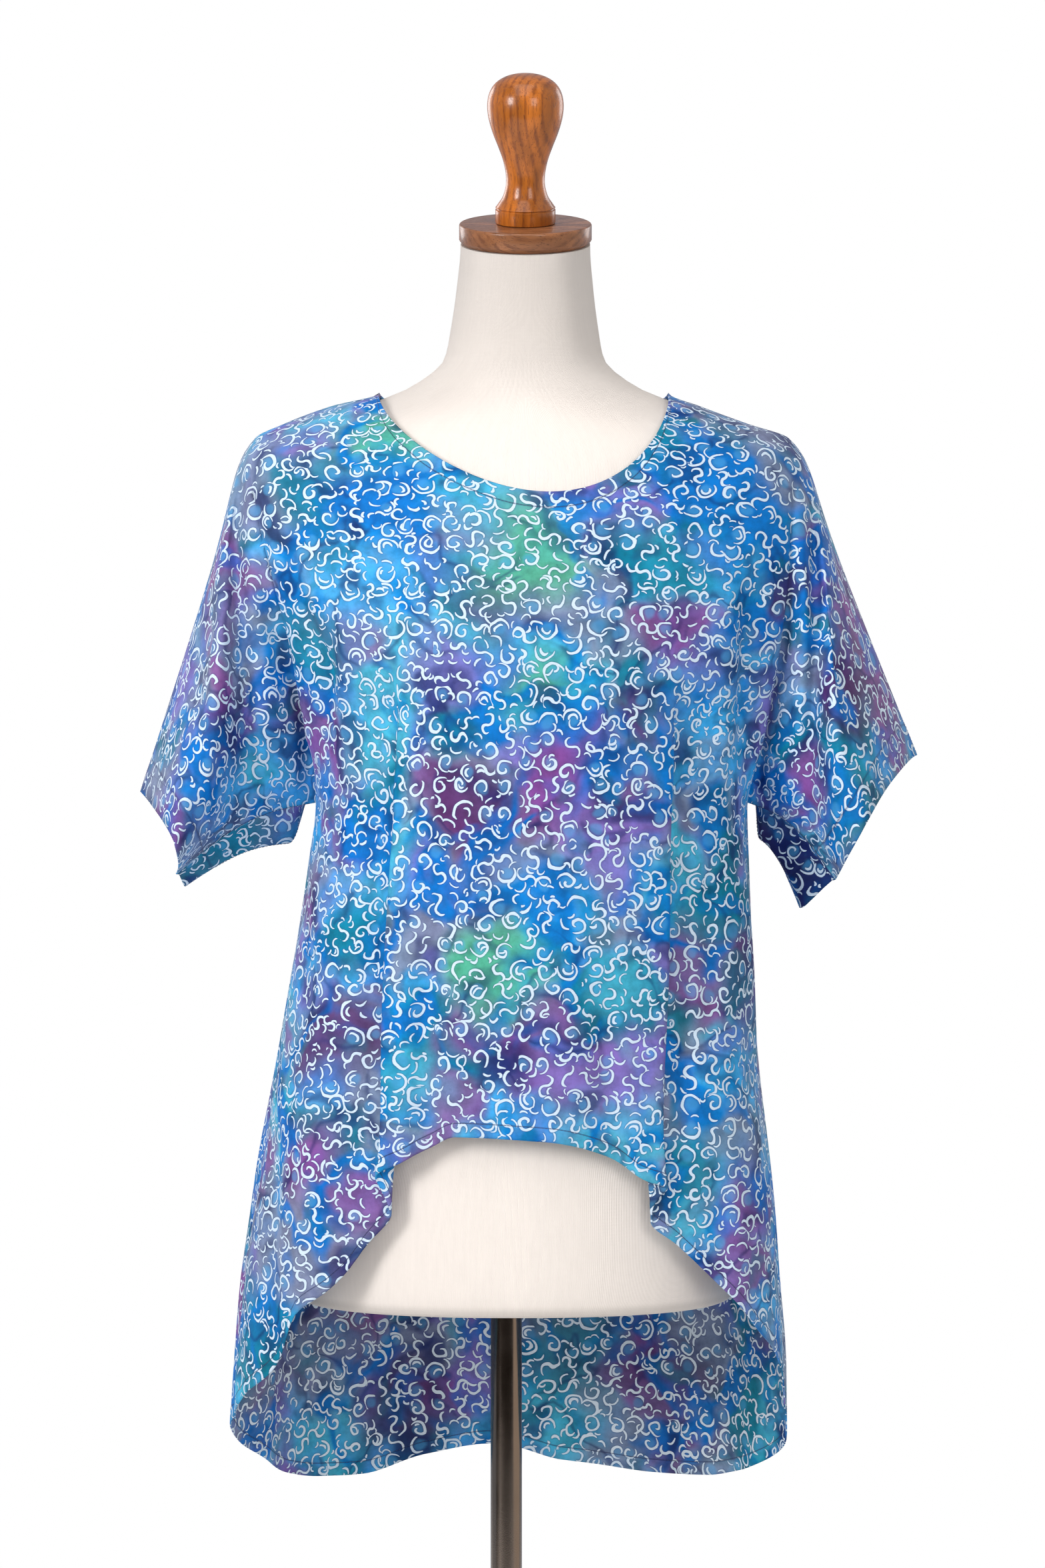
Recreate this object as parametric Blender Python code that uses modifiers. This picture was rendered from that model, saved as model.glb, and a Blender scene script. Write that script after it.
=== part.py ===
"""A high-low batik blouse with cut-on half sleeves, hanging on a cloth-covered dress form.

The form has a wooden neck disc with a turned knob and stands on a steel pole with a round base.
The origin is on the floor under the pole. +Z is up, the front faces -Y, +X is the viewer's right.
All sizes are in metres. Widths are measured from the form's own axis, which leans a little to +X.
"""

import math
from collections import namedtuple

import bmesh
import bpy
from mathutils import Matrix, Vector

# Cloth wall, and the gap left at each sewn seam.
CLOTH = 0.0014
SEAM_GAP = 0.0004

# The form's axis: its place at the form's bottom, and its lean per metre of height.
FORM_BOTTOM = 0.698
AXIS_AT_BOTTOM = 0.006
AXIS_LEAN = 0.0105

# Heights of the neck top, the shoulder end of the seam and the armpit, and the neck's forward tilt.
NECK_TOP = 1.4722
NECK_TILT = math.radians(13)
TILT_STARTS = 1.39
SHOULDER = 1.330
ARMPIT = 1.064

# Wooden neck disc and knob, measured along their own tilted axis from the neck top.
DISC_RADIUS = 0.0485
DISC_HEIGHT = 0.0150
DISC_CHAMFER = 0.003
TOUCH = 0.0003
KnobStep = namedtuple("KnobStep", "radius height")
KNOB = [
    KnobStep(0.0000, 0.1089),
    KnobStep(0.0080, 0.1083),
    KnobStep(0.0155, 0.1060),
    KnobStep(0.0220, 0.1016),
    KnobStep(0.0262, 0.0950),
    KnobStep(0.0278, 0.0866),
    KnobStep(0.0270, 0.0772),
    KnobStep(0.0240, 0.0664),
    KnobStep(0.0200, 0.0561),
    KnobStep(0.0166, 0.0467),
    KnobStep(0.0147, 0.0382),
    KnobStep(0.0141, 0.0316),
    KnobStep(0.0146, 0.0260),
    KnobStep(0.0166, 0.0194),
    KnobStep(0.0196, 0.0147),
    KnobStep(0.0213, 0.0122),
    KnobStep(0.0220, 0.0111),
    KnobStep(0.0220, 0.0008),
    KnobStep(0.0212, 0.0000),
    KnobStep(0.0000, 0.0000),
]

# Pole and base.
POLE_RADIUS = 0.0116
BASE_RADIUS = 0.185
BASE_HEIGHT = 0.008
COLLAR_RADIUS = 0.020
COLLAR_HEIGHT = 0.030

FormRing = namedtuple("FormRing", "z half front back side_y power")
FORM_RINGS = [
    FormRing(FORM_BOTTOM, 0.1600, -0.107, 0.111, 0.004, 0.88),
    FormRing(0.708, 0.1635, -0.111, 0.115, 0.004, 0.88),
    FormRing(0.740, 0.1660, -0.115, 0.119, 0.004, 0.88),
    FormRing(0.790, 0.1650, -0.118, 0.120, 0.004, 0.88),
    FormRing(0.850, 0.1540, -0.116, 0.108, 0.003, 0.90),
    FormRing(0.910, 0.1330, -0.104, 0.090, 0.002, 0.92),
    FormRing(0.970, 0.1190, -0.094, 0.078, 0.000, 0.92),
    FormRing(1.030, 0.1260, -0.101, 0.084, 0.000, 0.92),
    FormRing(1.090, 0.1370, -0.114, 0.096, 0.000, 0.90),
    FormRing(1.150, 0.1470, -0.126, 0.106, 0.002, 0.90),
    FormRing(1.180, 0.1520, -0.128, 0.109, 0.003, 0.90),
    FormRing(1.220, 0.1620, -0.120, 0.111, 0.004, 0.90),
    FormRing(1.260, 0.1760, -0.108, 0.111, 0.005, 0.90),
    FormRing(1.290, 0.1880, -0.096, 0.108, 0.006, 0.92),
    FormRing(1.310, 0.1920, -0.086, 0.104, 0.006, 0.94),
    FormRing(1.322, 0.1890, -0.080, 0.100, 0.006, 0.95),
    FormRing(1.334, 0.1740, -0.073, 0.096, 0.006, 0.95),
    FormRing(1.346, 0.1425, -0.067, 0.091, 0.006, 0.95),
    FormRing(1.357, 0.1100, -0.062, 0.086, 0.007, 0.97),
    FormRing(1.370, 0.0800, -0.057, 0.078, 0.007, 1.00),
    FormRing(1.389, 0.0585, -0.053, 0.068, 0.006, 1.00),
    FormRing(1.408, 0.0545, -0.051, 0.060, 0.004, 1.00),
    FormRing(1.440, 0.0500, -0.051, 0.050, 0.000, 1.00),
    FormRing(NECK_TOP, 0.0473, -0.052, 0.044, -0.004, 1.00),
]
FORM_SIDES = 40

# The blouse's level sections. Above SHOULDER the side is the shoulder seam, from there to ARMPIT
# it is the line where the cut-on sleeve begins, and below it is the side seam.
# lobe is how far the body folds out over the sleeve, power and side_power how square a section is.
Section = namedtuple("Section", "z left right front_side front back_side back power side_power lobe")
SECTIONS = [
    Section(0.540, 0.2060, 0.2020, -0.016, -0.134, -0.016, 0.150, 0.86, 0.80, 0.000),
    Section(0.624, 0.2045, 0.1996, -0.016, -0.134, -0.016, 0.146, 0.86, 0.80, 0.000),
    Section(0.703, 0.1990, 0.1940, -0.016, -0.134, -0.016, 0.143, 0.86, 0.80, 0.000),
    Section(0.781, 0.1885, 0.1870, -0.016, -0.134, -0.016, 0.140, 0.86, 0.80, 0.000),
    Section(0.860, 0.1765, 0.1772, -0.016, -0.134, -0.016, 0.136, 0.86, 0.80, 0.000),
    Section(0.938, 0.1655, 0.1724, -0.017, -0.134, -0.017, 0.131, 0.86, 0.80, 0.001),
    Section(1.015, 0.1545, 0.1685, -0.018, -0.135, -0.018, 0.126, 0.87, 0.82, 0.000),
    Section(ARMPIT, 0.1485, 0.1665, -0.018, -0.135, -0.018, 0.123, 0.88, 0.85, 0.001),
    Section(1.090, 0.1485, 0.1695, -0.030, -0.135, 0.012, 0.122, 0.88, 0.90, 0.003),
    Section(1.120, 0.1510, 0.1730, -0.037, -0.135, 0.040, 0.120, 0.88, 1.00, 0.007),
    Section(1.160, 0.1600, 0.1800, -0.048, -0.1345, 0.056, 0.118, 0.88, 1.15, 0.006),
    Section(1.200, 0.1710, 0.1870, -0.055, -0.131, 0.066, 0.117, 0.88, 1.35, 0.003),
    Section(1.240, 0.1830, 0.1920, -0.060, -0.118, 0.072, 0.116, 0.90, 1.50, 0.001),
    Section(1.280, 0.1930, 0.1950, -0.050, -0.104, 0.066, 0.113, 0.92, 1.45, 0.000),
    Section(1.305, 0.1980, 0.1975, -0.036, -0.093, 0.050, 0.109, 0.94, 1.25, 0.000),
    Section(1.322, 0.1995, 0.1980, -0.016, -0.085, 0.028, 0.104, 0.95, 1.02, 0.000),
    Section(SHOULDER, 0.1975, 0.1955, 0.006, -0.080, 0.006, 0.102, 0.95, 0.95, 0.000),
    Section(1.342, 0.1740, 0.1625, 0.006, -0.073, 0.006, 0.097, 0.95, 0.95, 0.000),
    Section(1.354, 0.1420, 0.1300, 0.007, -0.068, 0.007, 0.093, 0.96, 0.96, 0.000),
    Section(1.364, 0.1060, 0.1060, 0.007, -0.065, 0.007, 0.089, 0.98, 0.98, 0.000),
]
NECK_HALF = 0.106
# Where on a section the fold over the sleeve is, how wide, and how much of it the back has.
LOBE_SHARE = 0.88
LOBE_WIDTH = 0.10
BACK_LOBE = 0.0
# The share of the way round at which a column starts from the neckline's end, and the part of
# the drop to the armpit at which the columns stand as in a plain ring.
NECK_SHARE = 0.42
RING_FROM = 0.30
NECK_ROOM = 0.0040
NECK_ROOM_AT = 0.03
NECK_ROOM_WIDTH = 0.035

# Neckline: how deep each panel is scooped below the shoulder seam's neck end.
FRONT_SCOOP = 0.0735
BACK_SCOOP = 0.020
NECK_SHIFT = 0.020

# Hem height of each panel, by the share of the way round from the centre (0) to a side seam (1).
Hem = namedtuple("Hem", "share z")
FRONT_HEM = [
    Hem(-1.000, 0.610),
    Hem(-0.910, 0.621),
    Hem(-0.785, 0.637),
    Hem(-0.626, 0.658),
    Hem(-0.590, 0.670),
    Hem(-0.551, 0.698),
    Hem(-0.450, 0.7175),
    Hem(-0.400, 0.730),
    Hem(-0.350, 0.750),
    Hem(-0.318, 0.772),
    Hem(-0.284, 0.803),
    Hem(-0.240, 0.815),
    Hem(-0.180, 0.824),
    Hem(-0.120, 0.832),
    Hem(0.050, 0.829),
    Hem(0.200, 0.817),
    Hem(0.300, 0.797),
    Hem(0.334, 0.789),
    Hem(0.358, 0.768),
    Hem(0.392, 0.753),
    Hem(0.450, 0.739),
    Hem(0.560, 0.714),
    Hem(0.700, 0.683),
    Hem(0.800, 0.668),
    Hem(0.900, 0.648),
    Hem(1.000, 0.620),
]
BACK_HEM = [
    Hem(-1.00, 0.610),
    Hem(-0.83, 0.578),
    Hem(-0.69, 0.559),
    Hem(-0.60, 0.549),
    Hem(-0.47, 0.542),
    Hem(-0.33, 0.540),
    Hem(-0.17, 0.553),
    Hem(-0.03, 0.562),
    Hem(0.09, 0.549),
    Hem(0.30, 0.541),
    Hem(0.50, 0.544),
    Hem(0.60, 0.550),
    Hem(0.75, 0.562),
    Hem(0.88, 0.583),
    Hem(1.00, 0.620),
]

# How far the front's columns spread going up, and the height where that starts and its rise.
COLUMN_SPREAD = 0.075
SPREAD_BELOW = 0.800
SPREAD_RISE = 0.320

# Folds where the cloth doubles back behind itself: the side part is tucked behind the centre part.
# overlap is the depth of the tuck across, full and top are the heights where it is whole and gone.
Tuck = namedtuple("Tuck", "panel share overlap top full")
TUCKS = [
    Tuck("front", -0.300, 0.0115, 1.190, 1.060),
    Tuck("front", 0.338, 0.0130, 1.185, 1.060),
]
# A Z-fold's shift across is TUCK_PULL units at its steepest, its overlap is TUCK_UNITS units and
# its two edges lie TUCK_EDGE units each side of its middle. Each edge steps back by TUCK_LAYER
# within TUCK_TURN units, more softly by TUCK_SOFT units where the fold begins.
TUCK_PULL = 3.5
TUCK_UNITS = 1.75
TUCK_EDGE = 0.555
TUCK_LAYER = 0.0040
TUCK_TURN = 0.80
TUCK_SOFT = 2.0
TUCK_DEEPENS = 2.2
TUCK_FADES = 0.060
TUCK_COLUMNS = (-2.0, -1.2, -0.775, -0.555, -0.335, 0.0, 0.335, 0.555, 0.775, 1.2, 2.0)
# Metres of cloth round one whole share, near enough to size the tucks.
SHARE_LENGTH = 0.26

# The share beside a side seam over which all folds die away.
SEAM_FADE = 0.06
# Waves that end above this height also fade out at their lower end.
WAVE_FADES_ABOVE = 0.90

# Soft ridges (out > 0) and troughs (out < 0) that run down the body.
Wave = namedtuple("Wave", "panel share width out top bottom")
WAVES = [
    Wave("front", -0.195, 0.014, -0.0045, 1.030, 0.800),
    Wave("front", -0.262, 0.018, 0.0035, 1.100, 0.800),
    Wave("front", 0.060, 0.034, 0.0035, 1.060, 0.800),
    Wave("front", 0.220, 0.022, -0.0040, 0.980, 0.800),
    Wave("front", -0.620, 0.018, -0.0070, 1.250, 1.060),
    Wave("front", 0.640, 0.018, -0.0060, 1.270, 1.060),
    Wave("front", -0.560, 0.028, 0.0050, 1.020, 0.640),
    Wave("front", 0.600, 0.028, 0.0050, 1.020, 0.640),
    Wave("back", -0.750, 0.026, -0.0060, 1.160, 0.560),
    Wave("back", -0.240, 0.034, 0.0070, 1.120, 0.560),
    Wave("back", 0.000, 0.034, -0.0080, 1.120, 0.560),
    Wave("back", 0.210, 0.032, 0.0070, 1.120, 0.560),
    Wave("back", 0.720, 0.026, -0.0060, 1.160, 0.560),
    Wave("back", 0.880, 0.024, 0.0060, 1.020, 0.580),
    Wave("back", -0.900, 0.024, 0.0060, 1.020, 0.580),
]

# Sleeves. corner is where the top seam meets the opening, under where the underarm seam does,
# as (across, y, z). forward and back are how far each sheet swells, inward and bend how the
# opening draws in. sag is how far the back sheet hangs down, at the armpit and at the opening.
Sleeve = namedtuple("Sleeve", "name sign corner under inward bend forward back sag_in sag_out")
SLEEVES = [
    Sleeve(
        "left",
        -1,
        Vector((0.2785, -0.004, 1.0715)),
        Vector((0.2500, -0.034, 1.0130)),
        0.016,
        1.0,
        0.078,
        0.092,
        Vector((0.000, 0.0, -0.060)),
        Vector((-0.002, 0.0, -0.016)),
    ),
    Sleeve(
        "right",
        1,
        Vector((0.2915, -0.004, 1.0985)),
        Vector((0.2310, -0.036, 1.0090)),
        0.013,
        0.75,
        0.078,
        0.092,
        Vector((-0.002, 0.0, -0.050)),
        Vector((-0.026, 0.0, -0.031)),
    ),
]
SAG_AT = 0.90
SAG_WIDTH = 0.12
SAG_FROM = 0.22
SAG_ENDS = 0.06
# The valley where the front's sleeve leaves the body, widened so that its bottom is round.
VALLEY = 0.0060
VALLEY_AT = 0.07
VALLEY_WIDTH = 0.06
VALLEY_FROM = 0.40
VALLEY_GROWS = 0.30
VALLEY_ENDS = 0.08
SHOULDER_ROUND = 0.0060
SHOULDER_ROUND_AT = 0.1
# How full a section of the opening is, and the arch of the underarm seam.
OPENING_FULLNESS = 0.8
UNDERARM_ARCH = Vector((0.0, -0.004, 0.012))

# Folds along a sleeve: a runs from the sleeve line (0) to the opening (1) and b from the top seam
# (0) to the underarm seam (1). Each fold passes through a_high near the top seam, at b = FOLD_HIGH,
# and through a_low near the underarm seam, at b = FOLD_LOW. Folds die away beside the sleeve line.
FOLD_HIGH = 0.15
FOLD_LOW = 0.85
FOLD_FADE = 0.06
SleeveFold = namedtuple("SleeveFold", "panel side a_high a_low width out")
SLEEVE_FOLDS = [
    SleeveFold("front", "left", 0.04, 0.52, 0.11, -0.017),
    SleeveFold("front", "left", 0.30, 0.82, 0.12, 0.006),
    SleeveFold("front", "right", 0.10, 0.60, 0.11, -0.015),
    SleeveFold("front", "right", 0.36, 0.86, 0.12, 0.006),
    SleeveFold("back", "left", 0.08, 0.50, 0.11, -0.011),
    SleeveFold("back", "left", 0.36, 0.82, 0.12, 0.006),
    SleeveFold("back", "right", 0.06, 0.46, 0.11, -0.011),
    SleeveFold("back", "right", 0.34, 0.76, 0.12, 0.006),
]

# Mesh steps: rows down to the armpit, rows below it, plain columns across, columns of a sleeve.
ROWS_UP = 12
ROWS_DOWN = 14
COLUMNS = 26
SLEEVE_COLUMNS = 8
SLEEVE_CLOSER = 1.3
# No plain column stands nearer than this to a tuck, in its units, or to the neckline's end.
TUCK_CLEAR = 2.7
NECK_CLEAR = 0.012

# Sides of the turned pieces.
DISC_SIDES = 40
KNOB_SIDES = 24
POLE_SIDES = 32
BASE_SIDES = 48

COLOURS = {
    "front_panel": ((0.12, 0.27, 0.55), 0.75, 0.0),
    "back_panel": ((0.10, 0.22, 0.45), 0.75, 0.0),
    "form_torso": ((0.80, 0.76, 0.68), 0.85, 0.0),
    "neck_disc": ((0.36, 0.16, 0.06), 0.35, 0.0),
    "neck_knob": ((0.42, 0.19, 0.07), 0.32, 0.0),
    "pole": ((0.10, 0.09, 0.09), 0.25, 1.0),
    "stand_base": ((0.12, 0.11, 0.11), 0.35, 1.0),
}


def ease(t):
    """A soft step from 0 to 1."""
    t = min(1.0, max(0.0, t))
    return t * t * (3.0 - 2.0 * t)


def slope(rows, i, column):
    """The slope of a table's column at row i, flat where the values turn."""
    if i in (0, len(rows) - 1):
        return 0.0
    before = (rows[i][column] - rows[i - 1][column]) / (rows[i][0] - rows[i - 1][0])
    after = (rows[i + 1][column] - rows[i][column]) / (rows[i + 1][0] - rows[i][0])
    if before * after <= 0.0:
        return 0.0
    return 2.0 * before * after / (before + after)


def read(rows, at, name):
    """A table's named column at that first value, on a smooth curve through its rows."""
    column = rows[0]._fields.index(name)
    at = min(rows[-1][0], max(rows[0][0], at))
    i = max(k for k in range(len(rows) - 1) if rows[k][0] <= at)
    step = rows[i + 1][0] - rows[i][0]
    t = (at - rows[i][0]) / step
    low = rows[i][column]
    high = rows[i + 1][column]
    curve = slope(rows, i, column) * step * t * (1.0 - t) ** 2
    curve -= slope(rows, i + 1, column) * step * t * t * (1.0 - t)
    return low + (high - low) * ease(t) + curve


def axis_x(z):
    return AXIS_AT_BOTTOM + (z - FORM_BOTTOM) * AXIS_LEAN


def signed_power(value, power):
    return math.copysign(abs(value) ** power, value)


def form_point(ring, angle):
    """A point of the form's ring, at an angle from the front towards +X."""
    depth = ring.front if math.cos(angle) > 0.0 else ring.back
    x = ring.half * signed_power(math.sin(angle), ring.power)
    y = ring.side_y + (depth - ring.side_y) * abs(math.cos(angle)) ** ring.power
    tilt = ease((ring.z - TILT_STARTS) / (NECK_TOP - TILT_STARTS))
    z = ring.z + (y - ring.side_y) * math.tan(NECK_TILT) * tilt
    return Vector((axis_x(ring.z) + x, y, z))


def neck_height(panel, across):
    """The height of the neckline at that distance from the form's axis."""
    scoop = FRONT_SCOOP if panel == "front" else BACK_SCOOP
    shift = NECK_SHIFT if panel == "front" else 0.0
    share = (across - shift * (1.0 - (across / NECK_HALF) ** 2)) / NECK_HALF
    share = min(1.0, abs(share))
    return SECTIONS[-1].z - scoop * (1.0 - share * share) ** 0.6


def ridge_height(across, share):
    """The height of the shoulder seam at that distance from the axis."""
    low, high = SHOULDER, SECTIONS[-1].z
    for _ in range(24):
        middle = 0.5 * (low + high)
        if side_width(middle, share) > across:
            low = middle
        else:
            high = middle
    return 0.5 * (low + high)


def spread(panel, share, z):
    """The share a column has reached at that height: the columns spread a little going up."""
    if panel == "back":
        return share
    return share + COLUMN_SPREAD * math.sin(math.pi * share) * ease((z - SPREAD_BELOW) / SPREAD_RISE)


def side_width(z, share):
    return read(SECTIONS, z, "left" if share < 0.0 else "right")


def column_top(panel, share):
    """Where a column starts: on the shoulder seam or on the neckline, as (across, z)."""
    if abs(share) < NECK_SHARE:
        across = NECK_HALF * math.sin(share / NECK_SHARE * math.pi / 2.0)
        return across, neck_height(panel, across)
    along_seam = (abs(share) - NECK_SHARE) / (1.0 - NECK_SHARE)
    across = NECK_HALF + (side_width(SHOULDER, share) - NECK_HALF) * along_seam
    return across, ridge_height(across, share)


def bump(value, width):
    return math.exp(-((value / width) ** 2))


def run(z, top, full):
    """How much of a fold there is at that height: none above top, all of it below full."""
    return ease((top - z) / (top - full))


def tuck_depth(tau, size):
    """How far a tuck's cloth lies behind the centre part: one layer past each of its two edges."""
    turn = TUCK_TURN + TUCK_SOFT * (1.0 - size)
    layers = ease(0.5 + (tau + TUCK_EDGE) / turn) + ease(0.5 + (tau - TUCK_EDGE) / turn)
    return TUCK_LAYER * layers * ease(TUCK_DEEPENS * size)


def fold_shift(panel, share, z):
    """How the folds move a body point: along the section, and outwards."""
    along = 0.0
    out = 0.0
    for tuck in TUCKS:
        if tuck.panel != panel:
            continue
        size = run(z, tuck.top, tuck.full)
        unit = tuck.overlap / TUCK_UNITS
        tau = (share - tuck.share) * SHARE_LENGTH / unit
        along -= size * TUCK_PULL * unit * tau * math.exp(-tau * tau)
        far = abs(share - tuck.share) * SHARE_LENGTH / TUCK_FADES
        out -= tuck_depth(math.copysign(1.0, tuck.share) * tau, size) * math.exp(-far * far)
    for wave in WAVES:
        if wave.panel != panel:
            continue
        half = 0.5 * (wave.top - wave.bottom)
        size = run(z, wave.top, wave.top - half)
        if wave.bottom > WAVE_FADES_ABOVE:
            size *= ease((z - wave.bottom) / half)
        out += size * wave.out * bump((share - wave.share) * SHARE_LENGTH, wave.width)
    return along, out


def section_point(panel, share, across, z):
    """The plain cloth at a height, a given way out from the axis, before its folds."""
    side = side_width(z, share)
    power = read(SECTIONS, z, "power")
    side_power = read(SECTIONS, z, "side_power")
    side_y = read(SECTIONS, z, panel + "_side")
    middle_y = read(SECTIONS, z, panel)
    sine = min(1.0, abs(across) / side) ** (1.0 / power)
    cosine = math.sqrt(max(0.0, 1.0 - sine * sine))
    y = side_y + (middle_y - side_y) * cosine ** side_power
    lobe = read(SECTIONS, z, "lobe") * bump(abs(share) - LOBE_SHARE, LOBE_WIDTH)
    lobe *= ease((1.0 - abs(share)) / LOBE_WIDTH)
    if panel == "back":
        lobe *= BACK_LOBE
    x = math.copysign(abs(across) + lobe, share)
    return Vector((axis_x(z) + x, y, z))


def body_place(panel, share, down):
    """The plain body at a share round and a step down: 0 at the top, 1 at the armpit, 2 at the hem."""
    if down <= 1.0:
        across, top = column_top(panel, share)
        drop = down_seam(down)
        z = top + (ARMPIT - top) * drop
        blend = ease(drop / RING_FROM)
    else:
        hem = FRONT_HEM if panel == "front" else BACK_HEM
        across = 0.0
        z = ARMPIT + (read(hem, share, "z") - ARMPIT) * (down - 1.0)
        blend = 1.0
    round_share = abs(spread(panel, share, z)) * math.pi / 2.0
    ring = side_width(z, share) * math.sin(round_share) ** read(SECTIONS, z, "power")
    across = abs(across) + (ring - abs(across)) * blend
    if down <= 1.0:
        across += neck_room(share, drop)
    return section_point(panel, share, min(across, side_width(z, share)), z)


def neck_room(share, drop):
    """How far the columns beside the neckline's end swing out to leave it room."""
    grow = drop / NECK_ROOM_AT
    return NECK_ROOM * grow * math.exp(1.0 - grow) * bump(abs(share) - NECK_SHARE, NECK_ROOM_WIDTH)


def down_seam(down):
    """The part of the drop from the shoulder to the armpit, with its rows closer at the top."""
    if down < 0.5:
        return 0.25 * down + 0.75 * down * down
    return 0.3125 + (down - 0.5) * 1.375


def body_point(panel, share, down):
    """A body point with its folds, which fade out at the side seams."""
    here = body_place(panel, share, down)
    step = 0.002
    inner = body_place(panel, max(-1.0, share - step), down)
    outer = body_place(panel, min(1.0, share + step), down)
    tangent = outer - inner
    tangent.z = 0.0
    if tangent.length < 1e-9:
        return here
    tangent.normalize()
    outward = Vector((tangent.y, -tangent.x, 0.0))
    if panel == "back":
        outward = -outward
    along, out = fold_shift(panel, share, here.z)
    fade = ease((1.0 - abs(share)) / SEAM_FADE)
    return here + (tangent * along + outward * out) * fade


def mirrored(point, sign):
    """A sleeve place given on the +X side, put on its own side of the leaning axis."""
    return Vector((axis_x(point.z) + sign * point.x, point.y, point.z))


def sleeve_top(sleeve, a):
    """The top seam of a sleeve, from the shoulder's end to the opening's corner."""
    start = body_place("front", float(sleeve.sign), 0.0)
    end = mirrored(sleeve.corner, sleeve.sign)
    grow = a / SHOULDER_ROUND_AT
    out = SHOULDER_ROUND * grow * math.exp(1.0 - grow) * (1.0 - a)
    return start.lerp(end, a) + Vector((sleeve.sign * out, 0.0, 0.0))


def sleeve_under(sleeve, a):
    """The underarm seam, from the armpit to the opening."""
    start = body_place("front", float(sleeve.sign), 1.0)
    end = mirrored(sleeve.under, sleeve.sign)
    return start.lerp(end, a) + UNDERARM_ARCH * math.sin(math.pi * a)


def opening_edge(panel, sleeve, b):
    """The opening's edge on one panel, from the top seam to the underarm seam."""
    start = mirrored(sleeve.corner, sleeve.sign)
    end = mirrored(sleeve.under, sleeve.sign)
    swell = math.sin(math.pi * b) ** OPENING_FULLNESS
    place = start.lerp(end, b)
    drawn = math.sin(math.pi * b ** sleeve.bend) ** OPENING_FULLNESS
    place.x -= sleeve.sign * sleeve.inward * drawn
    if panel == "front":
        place.y -= sleeve.forward * swell
    else:
        place.y += sleeve.back * swell
    return place


def sleeve_point(panel, sleeve, a, b):
    """A sleeve point, on the patch between its sleeve line, opening and two seams, with its folds."""
    side = float(sleeve.sign)
    line = body_place(panel, side, b)
    opening = opening_edge(panel, sleeve, b)
    top = sleeve_top(sleeve, a)
    under = sleeve_under(sleeve, a)
    corners = sleeve_top(sleeve, 0.0).lerp(sleeve_top(sleeve, 1.0), a) * (1.0 - b)
    corners += sleeve_under(sleeve, 0.0).lerp(sleeve_under(sleeve, 1.0), a) * b
    place = line.lerp(opening, a) + top.lerp(under, b) - corners
    if panel == "back":
        sag = sleeve.sag_in.lerp(sleeve.sag_out, a)
        low = bump(b - SAG_AT, SAG_WIDTH) * ease((1.0 - b) / SAG_ENDS) * ease(a / SAG_FROM)
        place += Vector((sleeve.sign * sag.x, 0.0, sag.z)) * low
    away = -1.0 if panel == "front" else 1.0
    if panel == "front":
        deep = ease((b - VALLEY_FROM) / VALLEY_GROWS) * ease((1.0 - b) / VALLEY_ENDS)
        place.y += VALLEY * bump(a - VALLEY_AT, VALLEY_WIDTH) * deep
    for fold in SLEEVE_FOLDS:
        if fold.panel != panel or fold.side != sleeve.name:
            continue
        along = (b - FOLD_HIGH) / (FOLD_LOW - FOLD_HIGH)
        middle = fold.a_high + (fold.a_low - fold.a_high) * along
        size = bump(a - middle, fold.width) * math.sin(math.pi * b) * ease(a / FOLD_FADE)
        place.y += away * fold.out * size
    return place


def columns_across(panel):
    """The shares at which the body has columns: evenly, and close together at each tuck."""
    shares = [-1.0 + 2.0 * i / COLUMNS for i in range(COLUMNS + 1)]
    for tuck in TUCKS:
        if tuck.panel != panel:
            continue
        unit = tuck.overlap / TUCK_UNITS / SHARE_LENGTH
        shares = [s for s in shares if abs(s - tuck.share) > TUCK_CLEAR * unit]
        shares += [tuck.share + unit * k for k in TUCK_COLUMNS]
    shares = [s for s in shares if abs(abs(s) - NECK_SHARE) > NECK_CLEAR]
    shares += [-NECK_SHARE, NECK_SHARE]
    return sorted(shares)


def at_seam(panel, place_of):
    """A seam point set back along its own sheet, so that the two walls stay the gap apart.

    place_of(panel, step) is the sheet's point at the seam (step 0) and one mesh step inside it.
    """
    seam = place_of(panel, 0)
    other = "back" if panel == "front" else "front"
    own = (place_of(panel, 1) - seam).normalized()
    facing = (place_of(other, 1) - seam).normalized()
    half_angle = 0.5 * own.angle(facing)
    return seam + own * (0.5 * SEAM_GAP + 0.5 * CLOTH / math.tan(half_angle))


def body_vertex(panel, share, down):
    """A body point, set back where it lies on the shoulder seam or a side seam."""
    row = 1.0 / ROWS_UP
    column = math.copysign(1.0 - 1.0 / COLUMNS, share)
    if down == 0.0 and abs(share) >= NECK_SHARE:
        return at_seam(panel, lambda side, step: body_point(side, share, step * row))
    if abs(share) == 1.0 and down == 1.0:
        return at_seam(panel, lambda side, step: body_point(side, share, 1.0 - step * row))
    if abs(share) == 1.0 and down > 1.0:
        return at_seam(panel, lambda side, step: body_point(side, column if step else share, down))
    return body_point(panel, share, down)


def sleeve_vertex(panel, sleeve, a, i):
    """A sleeve point on row i, set back where it lies on the top seam or the underarm seam."""
    row = 1.0 / ROWS_UP
    if i == 0:
        return at_seam(panel, lambda side, step: sleeve_point(side, sleeve, a, step * row))
    if i == ROWS_UP:
        return at_seam(panel, lambda side, step: sleeve_point(side, sleeve, a, 1.0 - step * row))
    return sleeve_point(panel, sleeve, a, i * row)


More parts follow.
